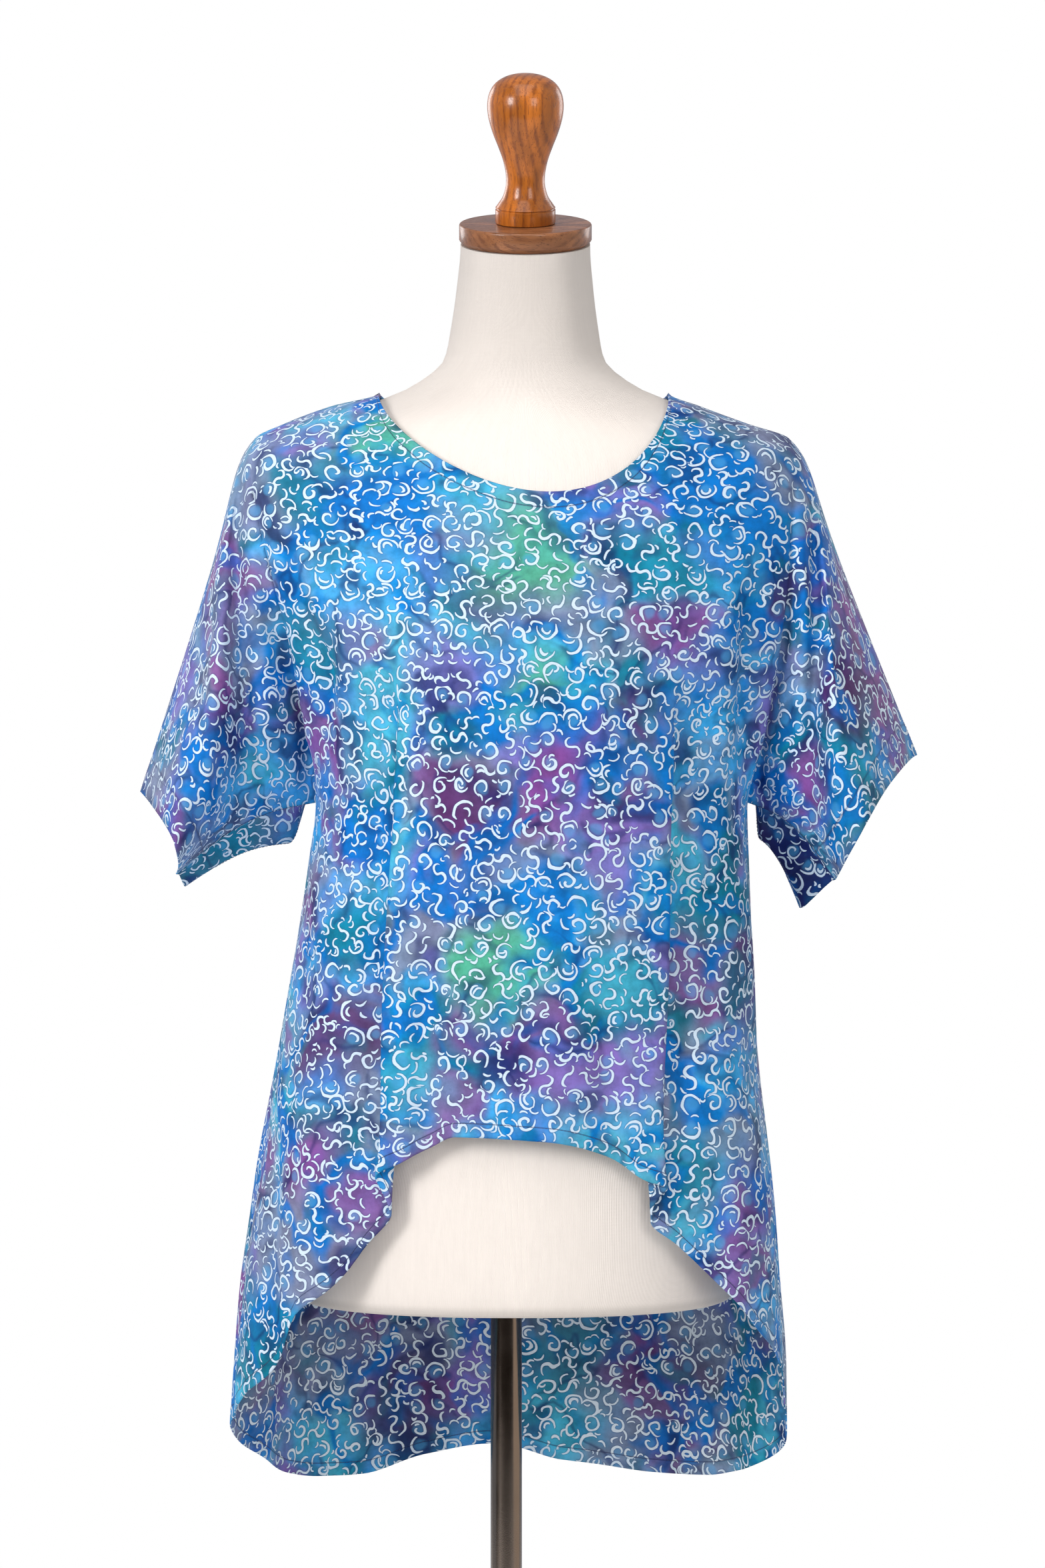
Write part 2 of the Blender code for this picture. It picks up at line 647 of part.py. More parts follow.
def panel_grid(panel):
    """One panel's middle surface: its body with both cut-on half sleeves, in one sheet."""
    form = bmesh.new()
    shares = columns_across(panel)
    downs = [i / ROWS_UP for i in range(ROWS_UP)]
    downs += [1.0 + i / ROWS_DOWN for i in range(ROWS_DOWN + 1)]
    grid = []
    for down in downs:
        row = [form.verts.new(body_vertex(panel, share, down)) for share in shares]
        grid.append(row)
    flip = panel == "back"
    join_rows(form, grid, flip)
    for sleeve in SLEEVES:
        edge = 0 if sleeve.sign < 0 else -1
        sheet = [[grid[i][edge] for i in range(ROWS_UP + 1)]]
        for k in range(1, SLEEVE_COLUMNS + 1):
            a = (k / SLEEVE_COLUMNS) ** SLEEVE_CLOSER
            line = []
            for i in range(ROWS_UP + 1):
                line.append(form.verts.new(sleeve_vertex(panel, sleeve, a, i)))
            sheet.append(line)
        join_rows(form, sheet, flip != (sleeve.sign > 0))
    return form


def join_rows(form, grid, flip):
    """Faces between the rows of a grid of points."""
    for upper, lower in zip(grid, grid[1:]):
        for k in range(len(upper) - 1):
            corners = [upper[k], lower[k], lower[k + 1], upper[k + 1]]
            if flip:
                corners.reverse()
            form.faces.new(corners)


def coloured(obj):
    """Gives a piece its own plain material."""
    colour, rough, metal = COLOURS[obj.name]
    material = bpy.data.materials.new(obj.name)
    material.use_nodes = True
    shader = material.node_tree.nodes["Principled BSDF"]
    shader.inputs["Base Color"].default_value = (*colour, 1.0)
    shader.inputs["Roughness"].default_value = rough
    shader.inputs["Metallic"].default_value = metal
    obj.data.materials.append(material)


def added(name, form, collection):
    """Makes a named object of a bmesh."""
    mesh = bpy.data.meshes.new(name)
    form.to_mesh(mesh)
    form.free()
    obj = bpy.data.objects.new(name, mesh)
    collection.objects.link(obj)
    coloured(obj)
    return obj


def make_panel(panel, collection):
    obj = added(panel + "_panel", panel_grid(panel), collection)
    wall = obj.modifiers.new("wall", "SOLIDIFY")
    wall.thickness = CLOTH
    wall.offset = 0.0
    wall.use_rim = True
    obj.data.shade_smooth()
    return obj


def make_torso(collection):
    """The covered body of the form, from its flat bottom to its neck top, as one loft."""
    form = bmesh.new()
    rings = []
    for ring in FORM_RINGS:
        turns = [2.0 * math.pi * k / FORM_SIDES for k in range(FORM_SIDES)]
        rings.append([form.verts.new(form_point(ring, turn)) for turn in turns])
    for lower, upper in zip(rings, rings[1:]):
        for k in range(FORM_SIDES):
            m = (k + 1) % FORM_SIDES
            form.faces.new([lower[k], lower[m], upper[m], upper[k]])
    form.faces.new(list(reversed(rings[0])))
    form.faces.new(rings[-1])
    obj = added("form_torso", form, collection)
    obj.data.shade_smooth()
    obj.data.set_sharp_from_angle(angle=math.radians(50))
    return obj


def turned(name, profile, collection, sides):
    """A turned piece: its outline at +X, top to bottom, spun round Z."""
    mesh = bpy.data.meshes.new(name)
    points = [(radius, 0.0, height) for radius, height in profile]
    mesh.from_pydata(points, [(i, i + 1) for i in range(len(points) - 1)], [])
    obj = bpy.data.objects.new(name, mesh)
    collection.objects.link(obj)
    spin = obj.modifiers.new("spin", "SCREW")
    spin.axis = "Z"
    spin.steps = sides
    spin.render_steps = sides
    spin.use_merge_vertices = True
    spin.merge_threshold = 0.00005
    spin.use_smooth_shade = True
    coloured(obj)
    return obj


def neck_frame():
    """The place and tilt of the neck top's middle."""
    top = FORM_RINGS[-1]
    middle = 0.5 * (form_point(top, 0.0) + form_point(top, math.pi))
    return Matrix.Translation(middle) @ Matrix.Rotation(NECK_TILT, 4, "X")


def disc_profile():
    """The neck disc, with a rounded upper edge and a chamfer under it."""
    low = TOUCH
    high = TOUCH + DISC_HEIGHT
    edge = DISC_RADIUS
    return [
        (0.0, high),
        (edge - 0.0015, high),
        (edge - 0.0004, high - 0.0005),
        (edge, high - 0.0018),
        (edge, low + DISC_CHAMFER),
        (edge - DISC_CHAMFER, low),
        (0.0, low),
    ]


def knob_profile():
    """The turned knob: bulb, waist and foot ring."""
    foot = 2.0 * TOUCH + DISC_HEIGHT
    return [(step.radius, foot + step.height) for step in KNOB]


def make_wood(collection):
    """The neck disc on the neck, and the knob on the disc."""
    frame = neck_frame()
    disc = turned("neck_disc", disc_profile(), collection, DISC_SIDES)
    disc.matrix_world = frame
    knob = turned("neck_knob", knob_profile(), collection, KNOB_SIDES)
    knob.matrix_world = frame


def make_stand(collection):
    """The straight pole under the form, and its round base with a collar."""
    bottom = BASE_HEIGHT + TOUCH
    top = FORM_BOTTOM - TOUCH
    outline = [(0.0, top), (POLE_RADIUS, top), (POLE_RADIUS, bottom), (0.0, bottom)]
    turned("pole", outline, collection, POLE_SIDES)
    turned("stand_base", base_profile(), collection, BASE_SIDES)


def base_profile():
    """A flat round plate with a collar that the pole stands in."""
    inside = POLE_RADIUS + TOUCH
    high = BASE_HEIGHT + COLLAR_HEIGHT
    return [
        (0.0, BASE_HEIGHT),
        (inside, BASE_HEIGHT),
        (inside, high),
        (COLLAR_RADIUS - 0.002, high),
        (COLLAR_RADIUS, high - 0.002),
        (COLLAR_RADIUS, BASE_HEIGHT),
        (BASE_RADIUS - 0.002, BASE_HEIGHT),
        (BASE_RADIUS, BASE_HEIGHT - 0.002),
        (BASE_RADIUS, 0.0),
        (0.0, 0.0),
    ]


def main():
    for obj in list(bpy.data.objects):
        bpy.data.objects.remove(obj, do_unlink=True)
    collection = bpy.data.collections.new("batik_blouse_on_dress_form")
    bpy.context.scene.collection.children.link(collection)
    make_panel("front", collection)
    make_panel("back", collection)
    make_torso(collection)
    make_wood(collection)
    make_stand(collection)


main()
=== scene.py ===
"""Looks of the batik blouse on its dress form: cloth, print, stitches, form cover, wood and steel.

Metres, +Z up, the front faces -Y. The cloth sheets follow the same sections as their solids.
"""

import math
from collections import namedtuple
from itertools import product

import bpy
import numpy as np
from mathutils import Matrix, Vector
from mathutils.bvhtree import BVHTree


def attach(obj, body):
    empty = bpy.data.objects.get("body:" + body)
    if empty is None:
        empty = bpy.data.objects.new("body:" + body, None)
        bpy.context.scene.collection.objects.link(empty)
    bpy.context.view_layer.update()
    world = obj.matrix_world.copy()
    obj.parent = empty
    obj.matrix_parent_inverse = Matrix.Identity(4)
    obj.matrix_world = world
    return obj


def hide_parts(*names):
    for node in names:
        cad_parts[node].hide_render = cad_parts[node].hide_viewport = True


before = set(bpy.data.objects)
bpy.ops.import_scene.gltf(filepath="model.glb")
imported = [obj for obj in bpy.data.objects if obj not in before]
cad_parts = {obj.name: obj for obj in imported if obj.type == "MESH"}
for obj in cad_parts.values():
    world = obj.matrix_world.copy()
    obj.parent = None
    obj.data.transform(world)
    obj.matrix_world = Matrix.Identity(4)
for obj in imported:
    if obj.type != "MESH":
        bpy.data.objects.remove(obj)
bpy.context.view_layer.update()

FULL_TURN = 2.0 * math.pi

# --- shape --------------------------------------------------------------------------------
# Thin cloth, its turned hems, and the gap left at each sewn seam.
CLOTH = 0.0005
HEM_CLOTH = 0.0010
SEAM_GAP = 0.0001
# How wide the turned hems are, up to their stitch line.
HEM_BAND = 0.0100
NECK_BAND = 0.0120
CUFF_BAND = 0.0245

# The form's axis: its place at the form's bottom, and its lean per metre of height.
FORM_BOTTOM = 0.698
AXIS_AT_BOTTOM = 0.006
AXIS_LEAN = 0.0105

# Heights of the neck top, the shoulder end of the seam and the armpit, and the neck's forward tilt.
NECK_TOP = 1.4722
NECK_TILT = math.radians(13)
TILT_STARTS = 1.39
SHOULDER = 1.330
ARMPIT = 1.064

# Wooden neck disc and knob, measured along their own tilted axis from the neck top.
DISC_RADIUS = 0.0485
DISC_HEIGHT = 0.0150
DISC_CHAMFER = 0.003
TOUCH = 0.0003
KnobStep = namedtuple("KnobStep", "radius height")
KNOB = [
    KnobStep(0.0000, 0.1089),
    KnobStep(0.0080, 0.1083),
    KnobStep(0.0155, 0.1060),
    KnobStep(0.0220, 0.1016),
    KnobStep(0.0262, 0.0950),
    KnobStep(0.0278, 0.0866),
    KnobStep(0.0270, 0.0772),
    KnobStep(0.0240, 0.0664),
    KnobStep(0.0200, 0.0561),
    KnobStep(0.0166, 0.0467),
    KnobStep(0.0147, 0.0382),
    KnobStep(0.0141, 0.0316),
    KnobStep(0.0146, 0.0260),
    KnobStep(0.0166, 0.0194),
    KnobStep(0.0196, 0.0147),
    KnobStep(0.0213, 0.0122),
    KnobStep(0.0220, 0.0111),
    KnobStep(0.0220, 0.0008),
    KnobStep(0.0212, 0.0000),
    KnobStep(0.0000, 0.0000),
]

# Pole and base.
POLE_RADIUS = 0.0116
BASE_RADIUS = 0.185
BASE_HEIGHT = 0.008
COLLAR_RADIUS = 0.020
COLLAR_HEIGHT = 0.030

FormRing = namedtuple("FormRing", "z half front back side_y power")
FORM_RINGS = [
    FormRing(FORM_BOTTOM, 0.1600, -0.107, 0.111, 0.004, 0.88),
    FormRing(0.708, 0.1635, -0.111, 0.115, 0.004, 0.88),
    FormRing(0.740, 0.1660, -0.115, 0.119, 0.004, 0.88),
    FormRing(0.790, 0.1650, -0.118, 0.120, 0.004, 0.88),
    FormRing(0.850, 0.1540, -0.116, 0.108, 0.003, 0.90),
    FormRing(0.910, 0.1330, -0.104, 0.090, 0.002, 0.92),
    FormRing(0.970, 0.1190, -0.094, 0.078, 0.000, 0.92),
    FormRing(1.030, 0.1260, -0.101, 0.084, 0.000, 0.92),
    FormRing(1.090, 0.1370, -0.114, 0.096, 0.000, 0.90),
    FormRing(1.150, 0.1470, -0.126, 0.106, 0.002, 0.90),
    FormRing(1.180, 0.1520, -0.128, 0.109, 0.003, 0.90),
    FormRing(1.220, 0.1620, -0.120, 0.111, 0.004, 0.90),
    FormRing(1.260, 0.1760, -0.108, 0.111, 0.005, 0.90),
    FormRing(1.290, 0.1880, -0.096, 0.108, 0.006, 0.92),
    FormRing(1.310, 0.1920, -0.086, 0.104, 0.006, 0.94),
    FormRing(1.322, 0.1890, -0.080, 0.100, 0.006, 0.95),
    FormRing(1.334, 0.1740, -0.073, 0.096, 0.006, 0.95),
    FormRing(1.346, 0.1425, -0.067, 0.091, 0.006, 0.95),
    FormRing(1.357, 0.1100, -0.062, 0.086, 0.007, 0.97),
    FormRing(1.370, 0.0800, -0.057, 0.078, 0.007, 1.00),
    FormRing(1.389, 0.0585, -0.053, 0.068, 0.006, 1.00),
    FormRing(1.408, 0.0545, -0.051, 0.060, 0.004, 1.00),
    FormRing(1.440, 0.0500, -0.051, 0.050, 0.000, 1.00),
    FormRing(NECK_TOP, 0.0473, -0.052, 0.044, -0.004, 1.00),
]

# The blouse's level sections. Above SHOULDER the side is the shoulder seam, from there to ARMPIT
# it is the line where the cut-on sleeve begins, and below it is the side seam.
# lobe is how far the front folds out over the sleeve, power and side_power how square a section is.
Section = namedtuple(
    "Section", "z left right front_side front back_side back power side_power lobe"
)
SECTIONS = [
    Section(0.540, 0.2060, 0.2020, -0.016, -0.134, -0.016, 0.150, 0.86, 0.80, 0.000),
    Section(0.624, 0.2045, 0.1996, -0.016, -0.134, -0.016, 0.146, 0.86, 0.80, 0.000),
    Section(0.703, 0.1990, 0.1940, -0.016, -0.134, -0.016, 0.143, 0.86, 0.80, 0.000),
    Section(0.781, 0.1885, 0.1870, -0.016, -0.134, -0.016, 0.140, 0.86, 0.80, 0.000),
    Section(0.860, 0.1765, 0.1772, -0.016, -0.134, -0.016, 0.136, 0.86, 0.80, 0.000),
    Section(0.938, 0.1655, 0.1724, -0.017, -0.134, -0.017, 0.131, 0.86, 0.80, 0.001),
    Section(1.015, 0.1545, 0.1685, -0.018, -0.135, -0.018, 0.126, 0.87, 0.82, 0.000),
    Section(ARMPIT, 0.1485, 0.1665, -0.018, -0.135, -0.018, 0.123, 0.88, 0.85, 0.001),
    Section(1.090, 0.1485, 0.1695, -0.030, -0.135, 0.012, 0.122, 0.88, 0.90, 0.003),
    Section(1.120, 0.1510, 0.1730, -0.037, -0.135, 0.040, 0.120, 0.88, 1.00, 0.007),
    Section(1.160, 0.1600, 0.1800, -0.048, -0.1345, 0.056, 0.118, 0.88, 1.15, 0.006),
    Section(1.200, 0.1710, 0.1870, -0.055, -0.131, 0.066, 0.117, 0.88, 1.35, 0.003),
    Section(1.240, 0.1830, 0.1920, -0.060, -0.118, 0.072, 0.116, 0.90, 1.50, 0.001),
    Section(1.280, 0.1930, 0.1950, -0.050, -0.104, 0.066, 0.113, 0.92, 1.45, 0.000),
    Section(1.305, 0.1980, 0.1975, -0.036, -0.093, 0.050, 0.109, 0.94, 1.25, 0.000),
    Section(1.322, 0.1995, 0.1980, -0.016, -0.085, 0.028, 0.104, 0.95, 1.02, 0.000),
    Section(SHOULDER, 0.1975, 0.1955, 0.006, -0.080, 0.006, 0.102, 0.95, 0.95, 0.000),
    Section(1.342, 0.1740, 0.1625, 0.006, -0.073, 0.006, 0.097, 0.95, 0.95, 0.000),
    Section(1.354, 0.1420, 0.1300, 0.007, -0.068, 0.007, 0.093, 0.96, 0.96, 0.000),
    Section(1.364, 0.1060, 0.1060, 0.007, -0.065, 0.007, 0.089, 0.98, 0.98, 0.000),
]
NECK_HALF = 0.106
# Where on a section of the front the fold over the sleeve is, and how wide.
LOBE_SHARE = 0.88
LOBE_WIDTH = 0.10
# The share of the way round at which a column starts from the neckline's end, and the part of
# the drop to the armpit at which the columns stand as in a plain ring.
NECK_SHARE = 0.42
RING_FROM = 0.30
NECK_ROOM = 0.0040
NECK_ROOM_AT = 0.03
NECK_ROOM_WIDTH = 0.035

# Neckline: how deep each panel is scooped below the shoulder seam's neck end.
FRONT_SCOOP = 0.0735
BACK_SCOOP = 0.020
NECK_SHIFT = 0.020

# Hem height of each panel, by the share of the way round from the centre (0) to a side seam (1).
Hem = namedtuple("Hem", "share z")
FRONT_HEM = [
    Hem(-1.000, 0.610),
    Hem(-0.910, 0.621),
    Hem(-0.785, 0.637),
    Hem(-0.626, 0.658),
    Hem(-0.590, 0.670),
    Hem(-0.551, 0.698),
    Hem(-0.450, 0.7175),
    Hem(-0.400, 0.730),
    Hem(-0.350, 0.750),
    Hem(-0.318, 0.772),
    Hem(-0.284, 0.803),
    Hem(-0.240, 0.815),
    Hem(-0.180, 0.824),
    Hem(-0.120, 0.832),
    Hem(0.050, 0.829),
    Hem(0.200, 0.817),
    Hem(0.300, 0.797),
    Hem(0.334, 0.789),
    Hem(0.358, 0.768),
    Hem(0.392, 0.753),
    Hem(0.450, 0.739),
    Hem(0.560, 0.714),
    Hem(0.700, 0.683),
    Hem(0.800, 0.668),
    Hem(0.900, 0.648),
    Hem(1.000, 0.620),
]
BACK_HEM = [
    Hem(-1.00, 0.610),
    Hem(-0.83, 0.578),
    Hem(-0.69, 0.559),
    Hem(-0.60, 0.549),
    Hem(-0.47, 0.542),
    Hem(-0.33, 0.540),
    Hem(-0.17, 0.553),
    Hem(-0.03, 0.562),
    Hem(0.09, 0.549),
    Hem(0.30, 0.541),
    Hem(0.50, 0.544),
    Hem(0.60, 0.550),
    Hem(0.75, 0.562),
    Hem(0.88, 0.583),
    Hem(1.00, 0.620),
]

# How far the front's columns spread going up, and the height where that starts and its rise.
COLUMN_SPREAD = 0.075
SPREAD_BELOW = 0.800
SPREAD_RISE = 0.320

# Folds where the cloth doubles back behind itself: the side part is tucked behind the centre part.
# overlap is the depth of the tuck across, full and top are the heights where it is whole and gone.
Tuck = namedtuple("Tuck", "panel share overlap top full")
TUCKS = [
    Tuck("front", -0.300, 0.0115, 1.190, 1.060),
    Tuck("front", 0.338, 0.0130, 1.185, 1.060),
]
# A Z-fold's shift across is TUCK_PULL units at its steepest, its overlap is TUCK_UNITS units and
# its two edges lie TUCK_EDGE units each side of its middle. Each edge steps back by TUCK_LAYER
# within TUCK_TURN units, more softly by TUCK_SOFT units where the fold begins.
TUCK_PULL = 3.5
TUCK_UNITS = 1.75
TUCK_EDGE = 0.555
TUCK_LAYER = 0.0040
TUCK_TURN = 0.80
TUCK_SOFT = 2.0
TUCK_DEEPENS = 2.2
TUCK_FADES = 0.060
# Metres of cloth round one whole share, near enough to size the tucks.
SHARE_LENGTH = 0.26

# The share beside a side seam over which all folds die away.
SEAM_FADE = 0.06
# Waves that end above this height also fade out at their lower end.
WAVE_FADES_ABOVE = 0.90

# Soft ridges (out > 0) and troughs (out < 0) that run down the body.
Wave = namedtuple("Wave", "panel share width out top bottom")
WAVES = [
    Wave("front", -0.195, 0.014, -0.0045, 1.030, 0.800),
    Wave("front", -0.262, 0.018, 0.0035, 1.100, 0.800),
    Wave("front", 0.060, 0.034, 0.0035, 1.060, 0.800),
    Wave("front", 0.220, 0.022, -0.0040, 0.980, 0.800),
    Wave("front", -0.620, 0.018, -0.0070, 1.250, 1.060),
    Wave("front", 0.640, 0.018, -0.0060, 1.270, 1.060),
    Wave("front", -0.560, 0.028, 0.0050, 1.020, 0.640),
    Wave("front", 0.600, 0.028, 0.0050, 1.020, 0.640),
    Wave("back", -0.750, 0.026, -0.0060, 1.160, 0.560),
    Wave("back", -0.240, 0.034, 0.0070, 1.120, 0.560),
    Wave("back", 0.000, 0.034, -0.0080, 1.120, 0.560),
    Wave("back", 0.210, 0.032, 0.0070, 1.120, 0.560),
    Wave("back", 0.720, 0.026, -0.0060, 1.160, 0.560),
    Wave("back", 0.880, 0.024, 0.0060, 1.020, 0.580),
    Wave("back", -0.900, 0.024, 0.0060, 1.020, 0.580),
]

# Sleeves. corner is where the top seam meets the opening, under where the underarm seam does,
# as (across, y, z). forward and back are how far each sheet swells, inward and bend how the
# opening draws in. sag is how far the back sheet hangs down, at the armpit and at the opening.
Sleeve = namedtuple("Sleeve", "name sign corner under inward bend forward back sag_in sag_out")
SLEEVES = [
    Sleeve(
        "left",
        -1,
        Vector((0.2785, -0.004, 1.0715)),
        Vector((0.2500, -0.034, 1.0130)),
        0.016,
        1.0,
        0.078,
        0.092,
        Vector((0.000, 0.0, -0.060)),
        Vector((-0.002, 0.0, -0.016)),
    ),
    Sleeve(
        "right",
        1,
        Vector((0.2915, -0.004, 1.0985)),
        Vector((0.2310, -0.036, 1.0090)),
        0.013,
        0.75,
        0.078,
        0.092,
        Vector((-0.002, 0.0, -0.050)),
        Vector((-0.026, 0.0, -0.031)),
    ),
]
SAG_AT = 0.90
SAG_WIDTH = 0.12
SAG_FROM = 0.22
SAG_ENDS = 0.06
# The valley where the front's sleeve leaves the body, widened so that its bottom is round.
VALLEY = 0.0060
VALLEY_AT = 0.07
VALLEY_WIDTH = 0.06
VALLEY_FROM = 0.40
VALLEY_GROWS = 0.30
VALLEY_ENDS = 0.08
SHOULDER_ROUND = 0.0060
SHOULDER_ROUND_AT = 0.1
# How full a section of the opening is, and the arch of the underarm seam.
OPENING_FULLNESS = 0.8
UNDERARM_ARCH = Vector((0.0, -0.004, 0.012))

# Folds along a sleeve: a runs from the sleeve line (0) to the opening (1) and b from the top seam
# (0) to the underarm seam (1). Each fold passes through a_high near the top seam, at b = FOLD_HIGH,
# and through a_low near the underarm seam, at b = FOLD_LOW. Folds die away beside the sleeve line.
FOLD_HIGH = 0.15
FOLD_LOW = 0.85
FOLD_FADE = 0.06
SleeveFold = namedtuple("SleeveFold", "panel side a_high a_low width out")
SLEEVE_FOLDS = [
    SleeveFold("front", "left", 0.04, 0.52, 0.11, -0.017),
    SleeveFold("front", "left", 0.30, 0.82, 0.12, 0.006),
    SleeveFold("front", "right", 0.10, 0.60, 0.11, -0.015),
    SleeveFold("front", "right", 0.36, 0.86, 0.12, 0.006),
    SleeveFold("back", "left", 0.08, 0.50, 0.11, -0.011),
    SleeveFold("back", "left", 0.36, 0.82, 0.12, 0.006),
    SleeveFold("back", "right", 0.06, 0.46, 0.11, -0.011),
    SleeveFold("back", "right", 0.34, 0.76, 0.12, 0.006),
]


def ease(t):
    """A soft step from 0 to 1."""
    t = np.clip(t, 0.0, 1.0)
    return t * t * (3.0 - 2.0 * t)


def bump(value, width):
    return np.exp(-((value / width) ** 2))


def read(rows, at, name):
    """A table's named column at those first values, on a smooth curve through its rows."""
    x = np.array([row[0] for row in rows])
    y = np.array([getattr(row, name) for row in rows])
    step = np.diff(x)
    rise = np.diff(y) / step
    slopes = np.zeros(len(x))
    product = rise[:-1] * rise[1:]
    turns = product > 0.0
    slopes[1:-1][turns] = 2.0 * product[turns] / (rise[:-1] + rise[1:])[turns]
    at = np.clip(at, x[0], x[-1])
    i = np.clip(np.searchsorted(x, at, side="right") - 1, 0, len(x) - 2)
    t = (at - x[i]) / step[i]
    curve = slopes[i] * step[i] * t * (1.0 - t) ** 2
    curve = curve - slopes[i + 1] * step[i] * t * t * (1.0 - t)
    return y[i] + (y[i + 1] - y[i]) * ease(t) + curve


def place(x, y, z):
    return np.stack(np.broadcast_arrays(x, y, z), axis=-1)


def unit(v):
    return v / np.maximum(np.linalg.norm(v, axis=-1, keepdims=True), 1e-12)


def axis_x(z):
    return AXIS_AT_BOTTOM + (z - FORM_BOTTOM) * AXIS_LEAN


def side_width(z, share):
    return np.where(share < 0.0, read(SECTIONS, z, "left"), read(SECTIONS, z, "right"))


def neck_height(panel, across):
    """The height of the neckline at that distance from the form's axis."""
    scoop = FRONT_SCOOP if panel == "front" else BACK_SCOOP
    shift = NECK_SHIFT if panel == "front" else 0.0
    share = (across - shift * (1.0 - (across / NECK_HALF) ** 2)) / NECK_HALF
    share = np.minimum(1.0, np.abs(share))
    return SECTIONS[-1].z - scoop * (1.0 - share * share) ** 0.6


def ridge_height(across, share):
    """The height of the shoulder seam at that distance from the axis."""
    low = np.full(np.shape(across), SHOULDER)
    high = np.full(np.shape(across), SECTIONS[-1].z)
    for _ in range(24):
        middle = 0.5 * (low + high)
        wider = side_width(middle, share) > across
        low = np.where(wider, middle, low)
        high = np.where(wider, high, middle)
    return 0.5 * (low + high)


def spread(panel, share, z):
    """The share a column has reached at that height: the columns spread a little going up."""
    if panel == "back":
        return share
    grows = ease((z - SPREAD_BELOW) / SPREAD_RISE)
    return share + COLUMN_SPREAD * np.sin(math.pi * share) * grows


def column_top(panel, share):
    """Where a column starts: on the shoulder seam or on the neckline, as (across, z)."""
    in_neck = np.abs(share) < NECK_SHARE
    turn = np.clip(share / NECK_SHARE, -1.0, 1.0) * math.pi / 2.0
    neck_across = NECK_HALF * np.sin(turn)
    along_seam = (np.abs(share) - NECK_SHARE) / (1.0 - NECK_SHARE)
    seam_across = NECK_HALF + (side_width(SHOULDER, share) - NECK_HALF) * along_seam
    top = np.where(in_neck, neck_height(panel, neck_across), ridge_height(seam_across, share))
    return np.where(in_neck, neck_across, seam_across), top


def run(z, top, full):
    """How much of a fold there is at that height: none above top, all of it below full."""
    return ease((top - z) / (top - full))


def tuck_depth(tau, size):
    """How far a tuck's cloth lies behind the centre part: one layer past each of its two edges."""
    turn = TUCK_TURN + TUCK_SOFT * (1.0 - size)
    layers = ease(0.5 + (tau + TUCK_EDGE) / turn) + ease(0.5 + (tau - TUCK_EDGE) / turn)
    return TUCK_LAYER * layers * ease(TUCK_DEEPENS * size)


def fold_shift(panel, share, z):
    """How the folds move a body point: along the section, and outwards."""
    along = np.zeros(np.shape(z))
    out = np.zeros(np.shape(z))
    for tuck in TUCKS:
        if tuck.panel != panel:
            continue
        size = run(z, tuck.top, tuck.full)
        cloth = tuck.overlap / TUCK_UNITS
        tau = (share - tuck.share) * SHARE_LENGTH / cloth
        along = along - size * TUCK_PULL * cloth * tau * np.exp(-tau * tau)
        far = np.abs(share - tuck.share) * SHARE_LENGTH / TUCK_FADES
        away = math.copysign(1.0, tuck.share)
        out = out - tuck_depth(away * tau, size) * np.exp(-far * far)
    for wave in WAVES:
        if wave.panel != panel:
            continue
        half = 0.5 * (wave.top - wave.bottom)
        size = run(z, wave.top, wave.top - half)
        if wave.bottom > WAVE_FADES_ABOVE:
            size = size * ease((z - wave.bottom) / half)
        out = out + size * wave.out * bump((share - wave.share) * SHARE_LENGTH, wave.width)
    return along, out


def section_point(panel, share, across, z):
    """The plain cloth at a height, a given way out from the axis, before its folds."""
    side = side_width(z, share)
    side_y = read(SECTIONS, z, panel + "_side")
    middle_y = read(SECTIONS, z, panel)
    sine = np.minimum(1.0, np.abs(across) / side) ** (1.0 / read(SECTIONS, z, "power"))
    cosine = np.sqrt(np.maximum(0.0, 1.0 - sine * sine))
    y = side_y + (middle_y - side_y) * cosine ** read(SECTIONS, z, "side_power")
    lobe = 0.0
    if panel == "front":
        lobe = read(SECTIONS, z, "lobe") * bump(np.abs(share) - LOBE_SHARE, LOBE_WIDTH)
        lobe = lobe * ease((1.0 - np.abs(share)) / LOBE_WIDTH)
    return place(axis_x(z) + np.copysign(np.abs(across) + lobe, share), y, z)


def neck_room(share, drop):
    """How far the columns beside the neckline's end swing out to leave it room."""
    grow = drop / NECK_ROOM_AT
    near = bump(np.abs(share) - NECK_SHARE, NECK_ROOM_WIDTH)
    return NECK_ROOM * grow * np.exp(1.0 - grow) * near


def down_seam(down):
    """The part of the drop from the shoulder to the armpit, with its rows closer at the top."""
    return np.where(down < 0.5, 0.25 * down + 0.75 * down * down, 0.3125 + (down - 0.5) * 1.375)


def body_place(panel, share, down):
    """The plain body at a share round and a step down: 0 the top, 1 the armpit, 2 the hem."""
    share, down = np.broadcast_arrays(np.asarray(share, float), np.asarray(down, float))
    across, top = column_top(panel, share)
    drop = down_seam(np.clip(down, 0.0, 1.0))
    hem = FRONT_HEM if panel == "front" else BACK_HEM
    upper = top + (ARMPIT - top) * drop
    lower = ARMPIT + (read(hem, share, "z") - ARMPIT) * (down - 1.0)
    z = np.where(down <= 1.0, upper, lower)
    blend = np.where(down <= 1.0, ease(drop / RING_FROM), 1.0)
    side = side_width(z, share)
    turn = np.abs(spread(panel, share, z)) * math.pi / 2.0
    ring = side * np.abs(np.sin(turn)) ** read(SECTIONS, z, "power")
    across = np.abs(across) + (ring - np.abs(across)) * blend
    across = across + np.where(down <= 1.0, neck_room(share, drop), 0.0)
    return section_point(panel, share, np.minimum(across, side), z)


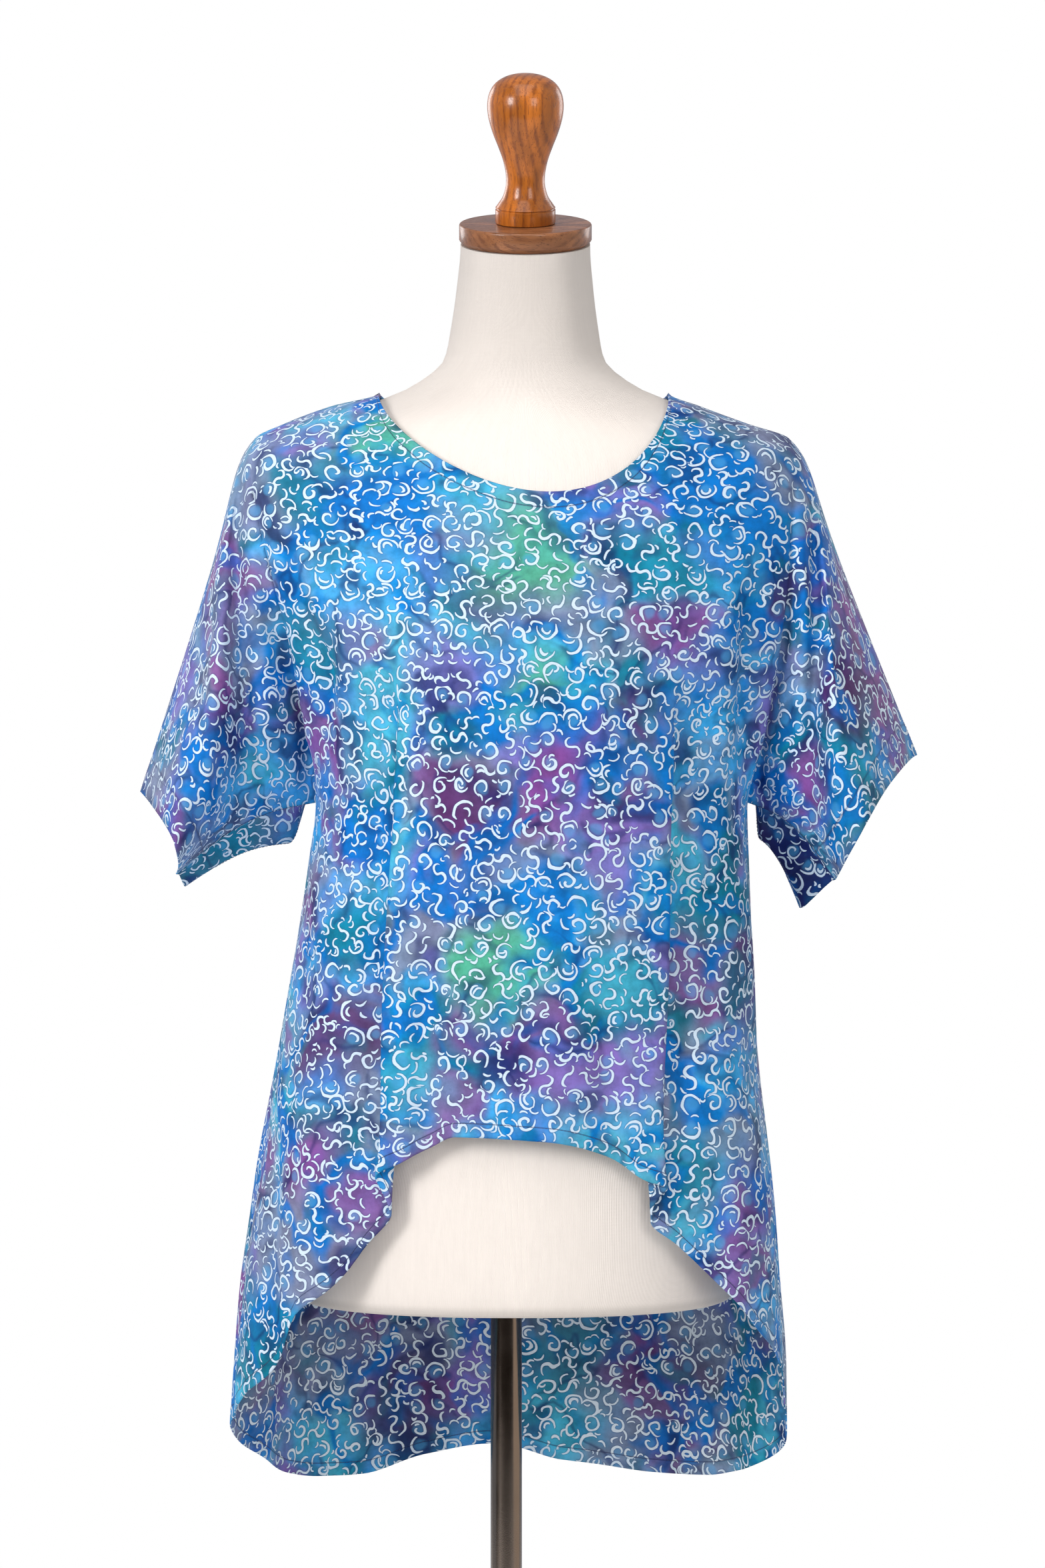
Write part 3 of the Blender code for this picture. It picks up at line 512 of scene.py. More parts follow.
def body_point(panel, share, down):
    """A body point with its folds, which fade out at the side seams."""
    share, down = np.broadcast_arrays(np.asarray(share, float), np.asarray(down, float))
    here = body_place(panel, share, down)
    step = 0.002
    inner = body_place(panel, np.maximum(-1.0, share - step), down)
    outer = body_place(panel, np.minimum(1.0, share + step), down)
    tangent = outer - inner
    tangent[..., 2] = 0.0
    tangent = unit(tangent)
    outward = place(tangent[..., 1], -tangent[..., 0], 0.0)
    if panel == "back":
        outward = -outward
    along, out = fold_shift(panel, share, here[..., 2])
    fade = ease((1.0 - np.abs(share)) / SEAM_FADE)[..., None]
    return here + (tangent * along[..., None] + outward * out[..., None]) * fade


def mirrored(point, sign):
    """A sleeve place given on the +X side, put on its own side of the leaning axis."""
    return np.array((axis_x(point.z) + sign * point.x, point.y, point.z))


def lerp(low, high, t):
    return low + (high - low) * np.asarray(t)[..., None]


def sleeve_top(sleeve, a):
    """The top seam of a sleeve, from the shoulder's end to the opening's corner."""
    start = body_place("front", float(sleeve.sign), 0.0)
    grow = a / SHOULDER_ROUND_AT
    out = sleeve.sign * SHOULDER_ROUND * grow * np.exp(1.0 - grow) * (1.0 - a)
    return lerp(start, mirrored(sleeve.corner, sleeve.sign), a) + place(out, 0.0, 0.0)


def sleeve_under(sleeve, a):
    """The underarm seam, from the armpit to the opening."""
    start = body_place("front", float(sleeve.sign), 1.0)
    arch = np.array(UNDERARM_ARCH) * np.sin(math.pi * np.asarray(a))[..., None]
    return lerp(start, mirrored(sleeve.under, sleeve.sign), a) + arch


def opening_edge(panel, sleeve, b):
    """The opening's edge on one panel, from the top seam to the underarm seam."""
    swell = np.abs(np.sin(math.pi * b)) ** OPENING_FULLNESS
    drawn = np.abs(np.sin(math.pi * b ** sleeve.bend)) ** OPENING_FULLNESS
    edge = lerp(mirrored(sleeve.corner, sleeve.sign), mirrored(sleeve.under, sleeve.sign), b)
    out = -sleeve.forward * swell if panel == "front" else sleeve.back * swell
    return edge + place(-sleeve.sign * sleeve.inward * drawn, out, 0.0)


def sleeve_point(panel, sleeve, a, b):
    """A sleeve point with its folds, on the patch between sleeve line, opening and two seams."""
    a, b = np.broadcast_arrays(np.asarray(a, float), np.asarray(b, float))
    line = body_place(panel, float(sleeve.sign), b)
    spot = lerp(line, opening_edge(panel, sleeve, b), a)
    spot = spot + lerp(sleeve_top(sleeve, a), sleeve_under(sleeve, a), b)
    zero, one = np.zeros_like(a), np.ones_like(a)
    high = lerp(sleeve_top(sleeve, zero), sleeve_top(sleeve, one), a)
    low = lerp(sleeve_under(sleeve, zero), sleeve_under(sleeve, one), a)
    spot = spot - lerp(high, low, b)
    if panel == "back":
        sag = lerp(np.array(sleeve.sag_in), np.array(sleeve.sag_out), a)
        depth = bump(b - SAG_AT, SAG_WIDTH) * ease((1.0 - b) / SAG_ENDS) * ease(a / SAG_FROM)
        spot = spot + sag * np.array((sleeve.sign, 0.0, 1.0)) * depth[..., None]
    out = np.zeros_like(a)
    if panel == "front":
        deep = ease((b - VALLEY_FROM) / VALLEY_GROWS) * ease((1.0 - b) / VALLEY_ENDS)
        out = out + VALLEY * bump(a - VALLEY_AT, VALLEY_WIDTH) * deep
    away = -1.0 if panel == "front" else 1.0
    for fold in SLEEVE_FOLDS:
        if fold.panel != panel or fold.side != sleeve.name:
            continue
        along = (b - FOLD_HIGH) / (FOLD_LOW - FOLD_HIGH)
        middle = fold.a_high + (fold.a_low - fold.a_high) * along
        size = bump(a - middle, fold.width) * np.sin(math.pi * b) * ease(a / FOLD_FADE)
        out = out + away * fold.out * size
    return spot + place(0.0, out, 0.0)


def form_point(ring, turns):
    """Points of the form's ring, at angles from the front towards +X."""
    depth = np.where(np.cos(turns) > 0.0, ring.front, ring.back)
    x = ring.half * np.copysign(np.abs(np.sin(turns)) ** ring.power, np.sin(turns))
    y = ring.side_y + (depth - ring.side_y) * np.abs(np.cos(turns)) ** ring.power
    tilt = ease((ring.z - TILT_STARTS) / (NECK_TOP - TILT_STARTS))
    z = ring.z + (y - ring.side_y) * math.tan(NECK_TILT) * tilt
    return place(axis_x(ring.z) + x, y, z)


# --- cloth sheets -------------------------------------------------------------------------
# Rows down to the armpit and below it, rows across a sleeve, and the distance between columns,
# in metres: on plain cloth and in the turns of a tuck.
ROWS_UP = 72
ROWS_DOWN = 122
SLEEVE_COLUMNS = 36
COLUMN_STEP = 0.0040
TUCK_STEP = 0.0017
TUCK_REACH = 1.5
# How far from a seam, down and round, the points are that show a sheet's direction there.
SEAM_ROW = 1.0 / 12.0
SEAM_COLUMN = 1.0 / 26.0
# The measure of a place by no turned edge, the largest that is kept, and the steps of thickness
# in which a turned hem ends.
NO_BAND = 9.0
BAND_LIMIT = 4.0
HEM_LEVELS = 10
# The shares over which small creases die away: at the side seams, below the top, beside a sleeve's
# own line and at a sleeve's two seams. Then the share over which the painted shade inside a sleeve
# grows.
CREASE_FADE_SIDE = 0.08
CREASE_FADE_TOP = 0.25
CREASE_FADE_SLEEVE = 0.30
CREASE_FADE_SLEEVE_SEAM = 0.20
SLEEVE_SHADE_GROWS = 0.35
# How far to the right of the front's flat cloth the back's is laid.
BACK_ASIDE = 3.0

# Small soft creases seen from the front, each from a higher to a lower point, as x and z.
CREASE_DEPTH = 1.7
Crease = namedtuple("Crease", "panel x_high z_high x_low z_low width out")
CREASES = [
    Crease("front", -0.124, 1.232, -0.129, 1.092, 0.006, -0.0022),
    Crease("front", -0.118, 1.225, -0.121, 1.080, 0.007, 0.0012),
    Crease("front", 0.175, 1.262, 0.172, 1.070, 0.009, -0.0026),
    Crease("front", 0.158, 1.240, 0.160, 1.060, 0.010, 0.0014),
    Crease("front", -0.060, 1.285, -0.098, 1.180, 0.010, -0.0012),
    Crease("front", 0.072, 1.290, 0.104, 1.190, 0.010, -0.0012),
    Crease("front", -0.150, 1.040, -0.146, 0.900, 0.008, -0.0018),
    Crease("front", 0.146, 1.030, 0.150, 0.880, 0.008, -0.0018),
    Crease("front", -0.052, 0.985, -0.058, 0.815, 0.008, -0.0020),
    Crease("front", -0.035, 0.960, -0.040, 0.830, 0.012, 0.0014),
    Crease("front", -0.086, 1.170, -0.103, 0.800, 0.0055, -0.0022),
    Crease("front", 0.126, 1.170, 0.126, 0.790, 0.0055, -0.0022),
    Crease("front", 0.025, 0.950, 0.030, 0.840, 0.014, -0.0010),
    Crease("front", 0.070, 0.960, 0.078, 0.810, 0.009, -0.0016),
    Crease("front", -0.135, 0.850, -0.150, 0.690, 0.010, 0.0018),
    Crease("front", -0.165, 0.860, -0.176, 0.680, 0.007, -0.0022),
    Crease("front", 0.150, 0.850, 0.160, 0.690, 0.009, -0.0020),
    Crease("front", 0.175, 0.880, 0.186, 0.700, 0.010, 0.0018),
    Crease("front", -0.212, 1.230, -0.232, 1.110, 0.008, -0.0022),
    Crease("front", 0.224, 1.240, 0.246, 1.130, 0.008, -0.0022),
    Crease("back", -0.110, 1.280, -0.070, 1.120, 0.012, -0.0016),
    Crease("back", 0.118, 1.275, 0.080, 1.130, 0.012, -0.0016),
    Crease("back", -0.120, 1.020, -0.130, 0.760, 0.010, -0.0022),
    Crease("back", 0.128, 1.000, 0.134, 0.740, 0.010, -0.0022),
    Crease("back", -0.028, 0.900, -0.034, 0.650, 0.009, 0.0018),
    Crease("back", 0.034, 0.880, 0.040, 0.620, 0.010, 0.0018),
    Crease("back", -0.215, 1.220, -0.235, 1.100, 0.008, -0.0020),
    Crease("back", 0.222, 1.230, 0.246, 1.120, 0.008, -0.0020),
]

# Slow ripples all over, by the cloth's own flat measures: waves a metre across and down, and size.
Ripple = namedtuple("Ripple", "across down out")
RIPPLES = [
    Ripple(9.0, 1.3, 0.00045),
    Ripple(16.0, -2.6, 0.00035),
    Ripple(23.0, 4.2, 0.00022),
    Ripple(5.0, 7.5, 0.00035),
    Ripple(31.0, 2.2, 0.00014),
]


def tuck_steps(panel):
    """The shares at which the body has columns: evenly by length, and close in each tuck."""
    shares = np.linspace(-1.0, 1.0, 2001)
    row = body_point(panel, shares, 1.25)
    length = np.linalg.norm(np.diff(row, axis=0), axis=1)
    wish = np.full(len(length), COLUMN_STEP)
    for tuck in TUCKS:
        if tuck.panel == panel:
            near = np.abs(shares[1:] - tuck.share) * SHARE_LENGTH * TUCK_UNITS / tuck.overlap
            wish = np.where(near < TUCK_REACH, TUCK_STEP, wish)
    steps = np.concatenate([[0.0], np.cumsum(length / wish)])
    even = np.interp(np.linspace(0.0, steps[-1], int(steps[-1])), steps, shares)
    for side in (-1.0, 1.0):
        even[np.argmin(np.abs(even - side * NECK_SHARE))] = side * NECK_SHARE
    return even


def at_seam(panel, place_of):
    """Seam points set back along their own sheet, so that the two walls stay the gap apart."""
    seam = place_of(panel, 0)
    other = "back" if panel == "front" else "front"
    own = unit(place_of(panel, 1) - seam)
    facing = unit(place_of(other, 1) - seam)
    half_angle = 0.5 * np.arccos(np.clip(np.sum(own * facing, axis=-1), -1.0, 1.0))
    back = 0.5 * SEAM_GAP + 0.5 * CLOTH / np.tan(np.maximum(half_angle, 0.05))
    return seam + own * back[..., None]


def body_grid(panel, shares, downs):
    """The body's points, rows by columns, set back at the shoulder seam and the side seams."""
    grid = body_point(panel, shares[None, :], downs[:, None])
    seam = np.abs(shares) >= NECK_SHARE

    def shoulder(side, step):
        return body_point(side, shares[seam], step * SEAM_ROW)

    grid[0, seam] = at_seam(panel, shoulder)
    low = downs > 1.0
    armpit = int(np.argmin(np.abs(downs - 1.0)))
    for edge, share in ((0, -1.0), (-1, 1.0)):
        inner = share * (1.0 - SEAM_COLUMN)

        def beside(side, step, share=share, inner=inner):
            return body_point(side, inner if step else share, downs[low])

        def above(side, step, share=share):
            return body_point(side, share, 1.0 - step * SEAM_ROW)

        grid[low, edge] = at_seam(panel, beside)
        grid[armpit, edge] = at_seam(panel, above)
    return grid


def sleeve_grid(panel, sleeve, steps_in, steps_down):
    """A sleeve's points, columns by rows, set back at its top seam and underarm seam."""
    grid = sleeve_point(panel, sleeve, steps_in[:, None], steps_down[None, :])

    def top(side, step):
        return sleeve_point(side, sleeve, steps_in, step * SEAM_ROW)

    def under(side, step):
        return sleeve_point(side, sleeve, steps_in, 1.0 - step * SEAM_ROW)

    grid[:, 0] = at_seam(panel, top)
    grid[:, -1] = at_seam(panel, under)
    return grid


def lengths_along(grid, axis):
    """The distance along a grid's lines from their first point."""
    steps = np.linalg.norm(np.diff(grid, axis=axis), axis=-1)
    pad = [(0, 0), (0, 0)]
    pad[axis] = (1, 0)
    return np.cumsum(np.pad(steps, pad), axis=axis)


def joined_faces(index, flip):
    """The quads between the points of a grid of indices."""
    quads = np.stack([index[:-1, :-1], index[1:, :-1], index[1:, 1:], index[:-1, 1:]], axis=-1)
    quads = quads.reshape(-1, 4)
    return quads[:, ::-1] if flip else quads


def stored(mesh, name, values):
    """Keeps a number for each point of a mesh."""
    layer = mesh.attributes.new(name, "FLOAT", "POINT")
    layer.data.foreach_set("value", values.astype(np.float32))


def values_of(items, name, width, kind=np.float32):
    """That value of every item, as rows of the given width."""
    values = np.empty(len(items) * width, kind)
    items.foreach_get(name, values)
    return values.reshape(-1, width)


def corner_points(mesh):
    """The point at each corner of a mesh's faces."""
    return values_of(mesh.loops, "vertex_index", 1, np.int32).ravel()


def flattened(obj, centre, foot):
    """Lays the sheet flat in metres: each point's place across and up, as it was cut."""
    mesh = obj.data
    mesh.uv_layers.new(name="flat")
    bpy.context.view_layer.objects.active = obj
    obj.select_set(True)
    bpy.ops.object.mode_set(mode="EDIT")
    bpy.ops.mesh.select_all(action="SELECT")
    bpy.ops.uv.unwrap(method="MINIMUM_STRETCH", iterations=12, margin=0.0)
    bpy.ops.object.mode_set(mode="OBJECT")
    obj.select_set(False)
    layer = mesh.uv_layers["flat"]
    corner = corner_points(mesh)
    flat = np.zeros((len(mesh.vertices), 2))
    flat[corner] = values_of(layer.data, "uv", 2).astype(float)
    points = values_of(mesh.vertices, "co", 3).astype(float)
    edges = values_of(mesh.edges, "vertices", 2, np.int32)
    real = np.linalg.norm(points[edges[:, 0]] - points[edges[:, 1]], axis=1)
    drawn = np.linalg.norm(flat[edges[:, 0]] - flat[edges[:, 1]], axis=1)
    flat *= real.sum() / drawn.sum()
    down = flat[foot] - flat[centre]
    turn = math.atan2(down[0], -down[1])
    cos, sin = math.cos(-turn), math.sin(-turn)
    flat = (flat - flat[centre]) @ np.array([[cos, sin], [-sin, cos]])
    flat[:, 1] += ARMPIT
    layer.data.foreach_set("uv", flat[corner].astype(np.float32).ravel())
    return flat, points


def creased(panel, points, flat, fade):
    """How far each point is moved out by the small creases and the slow ripples."""
    out = np.zeros(len(points))
    for crease in CREASES:
        if crease.panel != panel:
            continue
        high = np.array((crease.x_high, crease.z_high))
        low = np.array((crease.x_low, crease.z_low))
        line = low - high
        long = np.linalg.norm(line)
        line = line / long
        away = points[:, [0, 2]] - high
        along = away @ line / long
        across = away[:, 0] * line[1] - away[:, 1] * line[0]
        wavy = 0.12 * crease.width * np.sin(9.0 * along + 40.0 * crease.x_high)
        size = ease(along / 0.3) * ease((1.0 - along) / 0.3) * bump(across - wavy, crease.width)
        out += CREASE_DEPTH * crease.out * size
    for k, ripple in enumerate(RIPPLES):
        turn = FULL_TURN * (ripple.across * flat[:, 0] + ripple.down * flat[:, 1])
        turn = turn + 1.2 * np.sin(FULL_TURN * 2.1 * flat[:, 1] + k)
        out += ripple.out * np.sin(turn + 1.7 * k)
    return out * fade


def make_sheet(panel):
    """One cloth panel with both cut-on half sleeves: a thin shell with thicker turned hems.

    Gives the object, each turned edge as (points, measure from the edge) and the flat places.
    """
    shares = tuck_steps(panel)
    above = np.arange(ROWS_UP) / ROWS_UP
    below = 1.0 + np.arange(ROWS_DOWN + 1) / ROWS_DOWN
    downs = np.concatenate([above, below])
    body = body_grid(panel, shares, downs)
    index = np.arange(body.shape[0] * body.shape[1]).reshape(body.shape[:2])
    points = [body.reshape(-1, 3)]
    flip = panel == "back"
    faces = [joined_faces(index, flip)]
    from_hem = lengths_along(body[::-1], 0)[::-1] / HEM_BAND
    from_neck = lengths_along(body, 0) / NECK_BAND
    in_neck = np.abs(shares) < NECK_SHARE
    from_neck[:, ~in_neck] = NO_BAND
    bands = [np.minimum(from_hem, from_neck).ravel()]
    sleeve_shade_masks = [np.zeros(index.size)]
    sides = ease((1.0 - np.abs(shares)) / CREASE_FADE_SIDE)
    fades = [(sides[None, :] * ease(downs / CREASE_FADE_TOP)[:, None]).ravel()]
    lines = [(body, from_hem), (body[:, in_neck], from_neck[:, in_neck])]
    total = index.size
    steps_down = downs[: ROWS_UP + 1]
    steps_in = (np.arange(1, SLEEVE_COLUMNS + 1) / SLEEVE_COLUMNS) ** 1.15
    ends = ease(steps_down / CREASE_FADE_SLEEVE_SEAM)
    ends = ends * ease((1.0 - steps_down) / CREASE_FADE_SLEEVE_SEAM)
    for sleeve in SLEEVES:
        edge = 0 if sleeve.sign < 0 else -1
        arm = sleeve_grid(panel, sleeve, steps_in, steps_down)
        fresh = np.arange(total, total + arm.shape[0] * arm.shape[1]).reshape(arm.shape[:2])
        total += fresh.size
        points.append(arm.reshape(-1, 3))
        whole = np.concatenate([index[None, : ROWS_UP + 1, edge], fresh])
        faces.append(joined_faces(whole, flip != (sleeve.sign > 0)))
        from_cuff = lengths_along(arm[::-1], 0)[::-1] / CUFF_BAND
        bands.append(from_cuff.ravel())
        # Each sleeve point's share of the painted shade inside the sleeve, growing away from the
        # sleeve line; none on the body.
        sleeve_shade_masks.append(np.repeat(ease(steps_in / SLEEVE_SHADE_GROWS), len(steps_down)))
        fades.append((ease(steps_in / CREASE_FADE_SLEEVE)[:, None] * ends).ravel())
        lines.append((arm.transpose(1, 0, 2)[:, ::-1], from_cuff.T[:, ::-1]))
    mesh = bpy.data.meshes.new(panel + "_cloth")
    mesh.from_pydata(np.concatenate(points).tolist(), [], np.concatenate(faces).tolist())
    mesh.update()
    obj = bpy.data.objects.new(panel + "_cloth", mesh)
    bpy.context.scene.collection.objects.link(obj)
    middle = int(np.argmin(np.abs(shares)))
    flat, kept = flattened(obj, int(index[ROWS_UP, middle]), int(index[-1, middle]))
    if panel == "back":
        shifted = (flat + np.array((BACK_ASIDE, 0.0)))[corner_points(mesh)]
        mesh.uv_layers["flat"].data.foreach_set("uv", shifted.astype(np.float32).ravel())
    normals = values_of(mesh.vertex_normals, "vector", 3).astype(float)
    kept = kept + normals * creased(panel, kept, flat, np.concatenate(fades))[:, None]
    mesh.vertices.foreach_set("co", kept.astype(np.float32).ravel())
    mesh.update()
    band = np.minimum(np.concatenate(bands), BAND_LIMIT)
    stored(mesh, "band", band)
    # arm holds where the inside is painted darker, as shade inside the sleeves.
    stored(mesh, "arm", np.concatenate(sleeve_shade_masks))
    hem = obj.vertex_groups.new(name="hem")
    thick = 1.0 - ease((band - 0.92) / 0.16)
    for level in range(1, HEM_LEVELS + 1):
        chosen = np.nonzero(np.round(thick * HEM_LEVELS).astype(int) == level)[0]
        if len(chosen):
            hem.add(chosen.tolist(), level / HEM_LEVELS, "REPLACE")
    mesh.shade_smooth()
    wall = obj.modifiers.new("wall", "SOLIDIFY")
    wall.thickness = HEM_CLOTH
    wall.offset = 0.0
    wall.vertex_group = "hem"
    wall.thickness_vertex_group = CLOTH / HEM_CLOTH
    wall.material_offset = 1
    wall.use_even_offset = True
    return obj, lines, flat


def stitch_line(grid, measure):
    """The line across a grid's columns where the measure is 1: a turned edge's stitches."""
    count = grid.shape[1]
    line = np.empty((count, 3))
    for k in range(count):
        column = measure[:, k]
        order = np.argsort(column)
        for axis in range(3):
            line[k, axis] = np.interp(1.0, column[order], grid[order, k, axis])
    return line


# A thread stitch: its length, the gap to the next one, its thickness and number of sides. A row
# starts and ends a little inside its edge's ends. Where the cloth turns so sharply that a stitch's
# two normals agree less, or its ends lie further apart in its lengths, there is none.
STITCH_LONG = 0.0021
STITCH_GAP = 0.0006
STITCH_THICK = 0.00016
STITCH_SIDES = 5
STITCH_STARTS = 0.002
STITCH_ENDS = 0.004
STITCH_AGREES = 0.6
STITCH_STRETCH = 1.6
# A stitch's rings: place along it, lift and size, by its own thickness.
STITCH_RINGS = [(0.0, -0.4, 0.6), (0.2, 0.35, 1.0), (0.8, 0.35, 1.0), (1.0, -0.4, 0.6)]


def stitch_shape(start, end, up, base):
    """One stitch's points and faces, which count its points from base."""
    sides = STITCH_SIDES
    side = unit(np.cross(end - start, up))
    points, faces = [], []
    for share, lift, size in STITCH_RINGS:
        middle = start + (end - start) * share + up * lift * STITCH_THICK
        for turn in FULL_TURN * np.arange(sides) / sides:
            around = side * math.cos(turn) + up * math.sin(turn)
            points.append(middle + around * STITCH_THICK * size)
    last = len(STITCH_RINGS) - 1
    for low in range(base, base + last * sides, sides):
        for k in range(sides):
            m = (k + 1) % sides
            faces.append((low + k, low + m, low + sides + m, low + sides + k))
    faces.append(tuple(base + k for k in reversed(range(sides))))
    faces.append(tuple(base + last * sides + k for k in range(sides)))
    return points, faces


def add_stitches(name, paths, sheet):
    """Short thread stitches along the paths, lying on both of the sheet's faces."""
    lies = 0.25 * (CLOTH + HEM_CLOTH)
    corners = [v.co for v in sheet.data.vertices]
    tree = BVHTree.FromPolygons(corners, [p.vertices for p in sheet.data.polygons])
    points, faces = [], []
    for path, face in product(paths, (1.0, -1.0)):
        steps = np.linalg.norm(np.diff(path, axis=0), axis=1)
        lengths = np.concatenate([[0.0], np.cumsum(steps)])
        starts = np.arange(STITCH_STARTS, lengths[-1] - STITCH_ENDS, STITCH_LONG + STITCH_GAP)
        for start in starts:
            ends = []
            for at in (start, start + STITCH_LONG):
                spot = Vector([np.interp(at, lengths, path[:, k]) for k in range(3)])
                near, normal, _, _ = tree.find_nearest(spot)
                ends.append((np.array(near + normal * lies * face), np.array(normal) * face))
            (p0, n0), (p1, n1) = ends
            apart = np.linalg.norm(p1 - p0)
            if n0 @ n1 < STITCH_AGREES or apart > STITCH_STRETCH * STITCH_LONG:
                continue
            fresh, sides = stitch_shape(p0, p1, unit(n0 + n1), len(points))
            points += fresh
            faces += sides
    return added(name, points, faces)


# --- form, wood and stand -----------------------------------------------------------------
FORM_SIDES = 144
FORM_ROWS = 120
FORM_ROUND = 0.003


def added(name, points, faces):
    """Makes a smooth named object of points and faces."""
    mesh = bpy.data.meshes.new(name)
    mesh.from_pydata([tuple(p) for p in points], [], [tuple(f) for f in faces])
    mesh.update()
    mesh.shade_smooth()
    obj = bpy.data.objects.new(name, mesh)
    bpy.context.scene.collection.objects.link(obj)
    return obj


def make_form_cover():
    """The padded form in its ribbed cover, smooth all round, with a rounded lower edge."""
    heights = FORM_BOTTOM + (NECK_TOP - FORM_BOTTOM) * np.linspace(0.0, 1.0, FORM_ROWS) ** 1.02
    edge = [FORM_BOTTOM, FORM_BOTTOM + 0.0008, FORM_BOTTOM + 0.0030]
    heights = np.concatenate([edge, heights[1:]])
    turns = FULL_TURN * np.arange(FORM_SIDES) / FORM_SIDES
    rings = []
    for z in heights:
        values = [float(read(FORM_RINGS, z, name)) for name in FormRing._fields[1:]]
        ring = FormRing(z, *values)
        low = 1.0 - min(1.0, (z - FORM_BOTTOM) / FORM_ROUND)
        inward = FORM_ROUND * (1.0 - math.sqrt(1.0 - low ** 2))
        points = form_point(ring, turns)
        middle = np.array((axis_x(z), 0.0))
        flat = points[:, :2] - middle
        shrink = 1.0 - inward / np.linalg.norm(flat, axis=1, keepdims=True)
        points[:, :2] = middle + flat * shrink
        rings.append(points)
    grid = np.array(rings)
    index = np.arange(grid.shape[0] * FORM_SIDES).reshape(grid.shape[0], FORM_SIDES)
    index = np.concatenate([index, index[:, :1]], axis=1)
    faces = joined_faces(index[::-1], False).tolist()
    faces.append(list(range(FORM_SIDES))[::-1])
    faces.append((index[-1, :-1]).tolist())
    obj = added("form_cover", grid.reshape(-1, 3), faces)
    obj.data.set_sharp_from_angle(angle=math.radians(50))
    layer = obj.data.uv_layers.new(name="cover")
    corner = corner_points(obj.data)
    places = np.zeros((len(corner), 2))
    for polygon in obj.data.polygons:
        loops = list(polygon.loop_indices)
        column = np.array([corner[k] % FORM_SIDES for k in loops])
        if column.max() - column.min() > 2 and len(loops) == 4:
            column = np.where(column < FORM_SIDES // 2, column + FORM_SIDES, column)
        for k, c in zip(loops, column):
            places[k] = (c / FORM_SIDES, obj.data.vertices[corner[k]].co.z)
    layer.data.foreach_set("uv", places.astype(np.float32).ravel())
    return obj


def lathe(name, profile, sides, pose=None):
    """A turned piece: its outline of (radius, height), from the top down, spun round Z."""
    profile = [(max(r, 0.0), z) for r, z in profile]
    turns = FULL_TURN * np.arange(sides) / sides
    points, rows = [], []
    for radius, z in profile:
        if radius < 1e-6:
            rows.append([len(points)] * sides)
            points.append((0.0, 0.0, z))
        else:
            rows.append(list(range(len(points), len(points) + sides)))
            points += [(radius * math.cos(t), radius * math.sin(t), z) for t in turns]
    faces = []
    for upper, lower in zip(rows, rows[1:]):
        for k in range(sides):
            m = (k + 1) % sides
            corners = []
            for c in (upper[k], lower[k], lower[m], upper[m]):
                if c not in corners:
                    corners.append(c)
            faces.append(corners)
    obj = added(name, points, faces)
    obj.data.set_sharp_from_angle(angle=math.radians(35))
    if pose is not None:
        obj.matrix_world = pose
    return obj


def smooth_profile(steps, each):
    """An outline through the steps, on a smooth curve."""
    points = [np.array(step) for step in steps]
    points = [2 * points[0] - points[1]] + points + [2 * points[-1] - points[-2]]
    found = []
    for a, b, c, d in zip(points, points[1:], points[2:], points[3:]):
        for k in range(each):
            t = k / each
            bend = 2 * a - 5 * b + 4 * c - d
            twist = 3 * b - a - 3 * c + d
            curve = 2 * b + (c - a) * t + bend * t * t + twist * t ** 3
            found.append(tuple(0.5 * curve))
    found.append(tuple(points[-2]))
    return found


def rounded(radius, top, size, steps):
    """An outline's rounded outer edge, from its level top to its upright side."""
    turns = [math.pi / 2 * k / steps for k in range(steps + 1)]
    return [(radius - size + size * math.sin(t), top - size + size * math.cos(t)) for t in turns]


def neck_pose():
    """The place and tilt of the neck top's middle."""
    front, back = form_point(FORM_RINGS[-1], np.array((0.0, math.pi)))
    middle = Vector(0.5 * (front + back))
    return Matrix.Translation(middle) @ Matrix.Rotation(NECK_TILT, 4, "X")


def make_knob(pose):
    """The knob from its tip down, with a groove above its foot."""
    foot = 2.0 * TOUCH + DISC_HEIGHT
    curved = [(step.radius, foot + step.height) for step in KNOB[:16]]
    curved[0] = (0.0, curved[0][1])
    turned = smooth_profile(curved, 5)
    low = foot + KNOB[16].height
    groove = [(0.0219, low + 0.0004), (0.0213, low)]
    groove += [(0.0213, low - 0.0006), (0.0220, low - 0.0012)]
    ring = [(0.0220, foot + 0.0008), (0.0216, foot + 0.0002), (0.0208, foot), (0.0, foot)]
    return lathe("turned_knob", turned + groove + ring, 96, pose)


def make_disc(pose):
    """The neck disc, rounded above and chamfered below."""
    low, high, edge = TOUCH, TOUCH + DISC_HEIGHT, DISC_RADIUS
    top = [(0.0, high)] + rounded(edge, high, 0.0016, 6)
    under = [(edge, low + DISC_CHAMFER + 0.0004), (edge - 0.0004, low + DISC_CHAMFER - 0.0003)]
    under += [(edge - DISC_CHAMFER + 0.0004, low + 0.0003), (edge - DISC_CHAMFER, low), (0.0, low)]
    return lathe("turned_disc", top + under, 144, pose)


def make_pole():
    bottom, top = BASE_HEIGHT + TOUCH, FORM_BOTTOM - TOUCH
    inner = POLE_RADIUS - 0.0004
    outline = [(0.0, top), (inner, top), (POLE_RADIUS, top - 0.0004)]
    outline += [(POLE_RADIUS, top - (top - bottom) * k / 40) for k in range(1, 40)]
    outline += [(POLE_RADIUS, bottom + 0.0004), (inner, bottom), (0.0, bottom)]
    return lathe("steel_pole", outline, 72)


